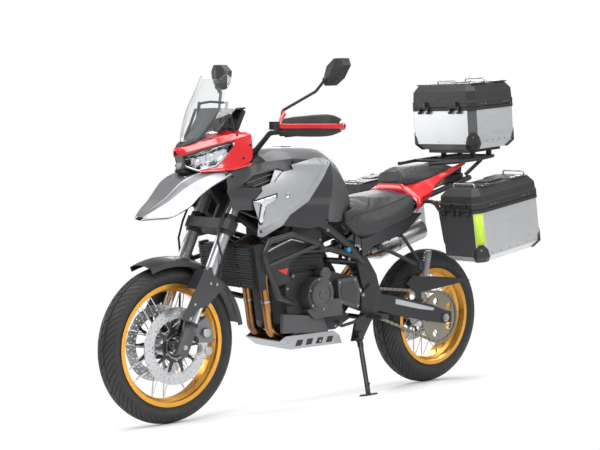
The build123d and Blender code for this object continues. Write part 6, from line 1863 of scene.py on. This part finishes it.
class BIKE_OT_controls(bpy.types.Operator):
    """Hand guards with their red bands, grips and switch keys"""
    bl_idname = "bike.controls"
    bl_label = "Controls"

    def execute(self, context):
        end = bar_point(434)
        middle = end.z + 1
        rows = []
        for y, x, above, below in GUARD:
            rows.append([(x - 8, y, middle + 46 * above), (x - 2, y + 1, middle + 40 * above), (x + 5, y, middle + 14),
                         (x + 6, y, middle + 8), (x + 6, y, middle - 8), (x + 4, y, middle - 14),
                         (x - 3, y, middle - 36 * below), (x - 9, y, middle - 44 * below)])
        bm = sheet(dense(rows, 3, 1))
        shell("guard_shields", bm, "hand_guards", "black plastic", (1, 0.3, 0), 3.5, 1.2, ("hand_guards",), 24.0)
        band = [(366, 256), (380, 272), (357, 312), (332, 360), (312, 402), (290, 444), (266, 472), (240, 480),
                (216, 470), (200, 450)]
        path = dense([[(x, y, middle) for x, y in band]] * 2, 1, 4)[0]
        bm = bmesh.new()
        sections = []
        for i, p in enumerate(path):
            along = (path[min(i + 1, len(path) - 1)] - path[max(i - 1, 0)]).normalized()
            out = along.cross(Vector((0, 0, 1))).normalized()
            if out.x < 0 and i < len(path) / 2:
                out = -out
            sections.append([p + out * far + Vector((0, 0, high)) for far, high in (
                (3.4, 7.5), (1.5, 9.5), (-4, 9.5), (-4, -9.5), (1.5, -9.5), (3.4, -7.5))])
        loft(bm, sections)
        tube(bm, [(368, 258, middle), (362, 250, middle + 30), (336, 240, middle + 50), (326, 226, middle + 58)],
             8, 16, 12)
        rod(bm, bar_point(424), bar_point(452), 15.5, 28)
        mirror_faces(bm)
        finish_piece("guard_bands", bm, "hand_guards", "red paint", 40.0)
        spots = []
        for side in SIDES:
            spots += [(bar_point(side * 452), (-0.45, side * 0.88, 0)),
                      ((372, side * 268, middle), (0.9, side * 0.2, 0)),
                      ((376, side * 258, middle), (1, -side * 0.3, 0))]
        fasteners("guard_end_bolts", spots, 6.5, 4.5, "hand_guards", "gloss black plastic")
        bm = bmesh.new()
        for side in SIDES:
            start = bar_point(side * 276)
            out = bar_point(side * 420) - start
            count = int(out.length / 5)
            profile = []
            for k in range(count):
                profile += [(k * 5, 16.8), (k * 5 + 1.2, 18.0), (k * 5 + 3.4, 18.0), (k * 5 + 4.6, 16.8)]
            lathe(bm, start, out, profile, 24)
            lathe(bm, start - out.normalized() * 3, out, [(0, 17), (0, 22), (3, 23), (6, 22), (6, 17)], 28,
                  closed=True)
        finish_piece("grips", bm, "controls", "soft rubber")
        bm = bmesh.new()
        for side in SIDES:
            base = bar_point(side * 244)
            for k, (dx, dz) in enumerate(((-24, 8), (-25, -6), (-10, 24))):
                low = base + Vector((dx - 4, -9, dz - 4))
                block(bm, low, low + Vector((8, 18, 8)))
        add_bevel(finish_piece("switch_keys", bm, "controls", "grey plastic"), 1.5)
        return {"FINISHED"}


class BIKE_OT_mirrors(bpy.types.Operator):
    """Mirror glasses and rounded heads"""
    bl_idname = "bike.mirrors"
    bl_label = "Mirrors"

    def execute(self, context):
        rounded_copy("mirrors", "black plastic", 2.5)
        top = 1508.0
        rows = [(top - 104, 26, 367), (top - 82, 54, 374), (top - 30, 64, 390), (top - 6, 40, 402)]
        bm = sheet(dense([[(190 - (z - top + 108) * 0.2 - 10.4, middle + half * k, z) for k in (-1, -0.5, 0, 0.5, 1)]
                         for z, half, middle in rows], 3, 1))
        shell("mirror_glasses", bm, "mirrors", "mirror glass", (-1, 0, 0), 1.2, 0)
        return {"FINISHED"}


class BIKE_OT_drive(bpy.types.Operator):
    """Chain links along the chain's line, a stripe on the swingarm and the rear axle's nuts"""
    bl_idname = "bike.drive"
    bl_label = "Drive"

    def execute(self, context):
        rear, front = Vector((-770, 0, 321)), Vector((-160, 0, 472))
        apart = (front - rear).length
        slope = math.atan2(front.z - rear.z, front.x - rear.x)
        lean = math.asin((118 - 38) / apart)
        line = []
        square = math.pi / 2 - lean
        for centre, radius, a_from, a_to in ((rear, 118.0, slope + square, slope + math.tau - square),
                                             (front, 38.0, slope - square, slope + square)):
            for k in range(25):
                a = a_from + (a_to - a_from) * k / 24
                line.append(PARK @ Vector((centre.x + radius * math.cos(a), 92, centre.z + radius * math.sin(a))))
        start = bpy.data.meshes.new("chain_line")
        count = len(line)
        start.from_pydata(line, [(k, (k + 1) % count) for k in range(count)], [])
        bm = bmesh.new()
        oval = [(7.94 + 5.6 * math.cos(a), 6.4 * math.sin(a)) for a in (math.pi * (k / 5 - 0.5) for k in range(6))]
        outline = oval + [(-x, z) for x, z in oval[::-1]]
        for side in SIDES:
            prism(bm, outline, side * 5.2, side * 6.8)
            prism(bm, [(x + 15.875, z * 0.9) for x, z in outline], side * 3.4, side * 5.0)
        for x in (-7.94, 7.94):
            rod(bm, (x, -8.2, 0), (x, 8.2, 0), 2.6, 8)
            rod(bm, (x, -3.4, 0), (x, 3.4, 0), 5.0, 8)
        helper = unit_object("link_unit", bm, Matrix.Scale(MM, 4))
        values = {"Unit": helper, "Count": sizes().chain_links // 2, "Across": row_direction((0, 1, 0))}
        grow("chain_links", start, FOLLOWED, values, "chain", "chain steel", 35.0, ("chain",))
        bpy.data.objects.remove(helper)
        bm = bmesh.new()
        prism(bm, [(-440, 436), (-640, 388), (-700, 372), (-690, 362), (-600, 376), (-440, 412)], 127.5, 129)
        finish_piece("swingarm_stripe", bm, "swingarm", "silver frame trim")
        spots = [((-770, side * 140, 321), (0, side, 0)) for side in SIDES]
        fasteners("axle_nuts", spots, 15, 9, "rear_axle", "bare steel", 6)
        return {"FINISHED"}


# ---------------------------------------------------------------- panel and running
STEPS = [BIKE_OT_finishes, BIKE_OT_side_panels, BIKE_OT_beak, BIKE_OT_nose, BIKE_OT_tank, BIKE_OT_tail,
         BIKE_OT_luggage, BIKE_OT_seats, BIKE_OT_wheels, BIKE_OT_metalwork, BIKE_OT_fork,
         BIKE_OT_controls, BIKE_OT_mirrors, BIKE_OT_drive, BIKE_OT_stage]
CLASSES = [BikeColors, BikeSizes, *STEPS]


class BIKE_PT_panel(bpy.types.Panel):
    """Lists the motorcycle's steps and settings"""
    bl_idname = "BIKE_PT_panel"
    bl_label = "Motorcycle"
    bl_space_type = "VIEW_3D"
    bl_region_type = "UI"
    bl_category = "Motorcycle"

    def draw(self, context):
        for group in (context.scene.bike_sizes, context.scene.bike_colors):
            for name in group.__annotations__:
                self.layout.prop(group, name)
        for step in STEPS:
            self.layout.operator(step.bl_idname)


def register():
    for item in CLASSES + [BIKE_PT_panel]:
        bpy.utils.register_class(item)
    bpy.types.Scene.bike_colors = PointerProperty(type=BikeColors)
    bpy.types.Scene.bike_sizes = PointerProperty(type=BikeSizes)


def unregister():
    del bpy.types.Scene.bike_sizes
    del bpy.types.Scene.bike_colors
    for item in reversed(CLASSES + [BIKE_PT_panel]):
        bpy.utils.unregister_class(item)


def main():
    register()
    for step in STEPS:
        group, name = step.bl_idname.split(".")
        getattr(getattr(bpy.ops, group), name)()


if __name__ == "__main__":
    main()
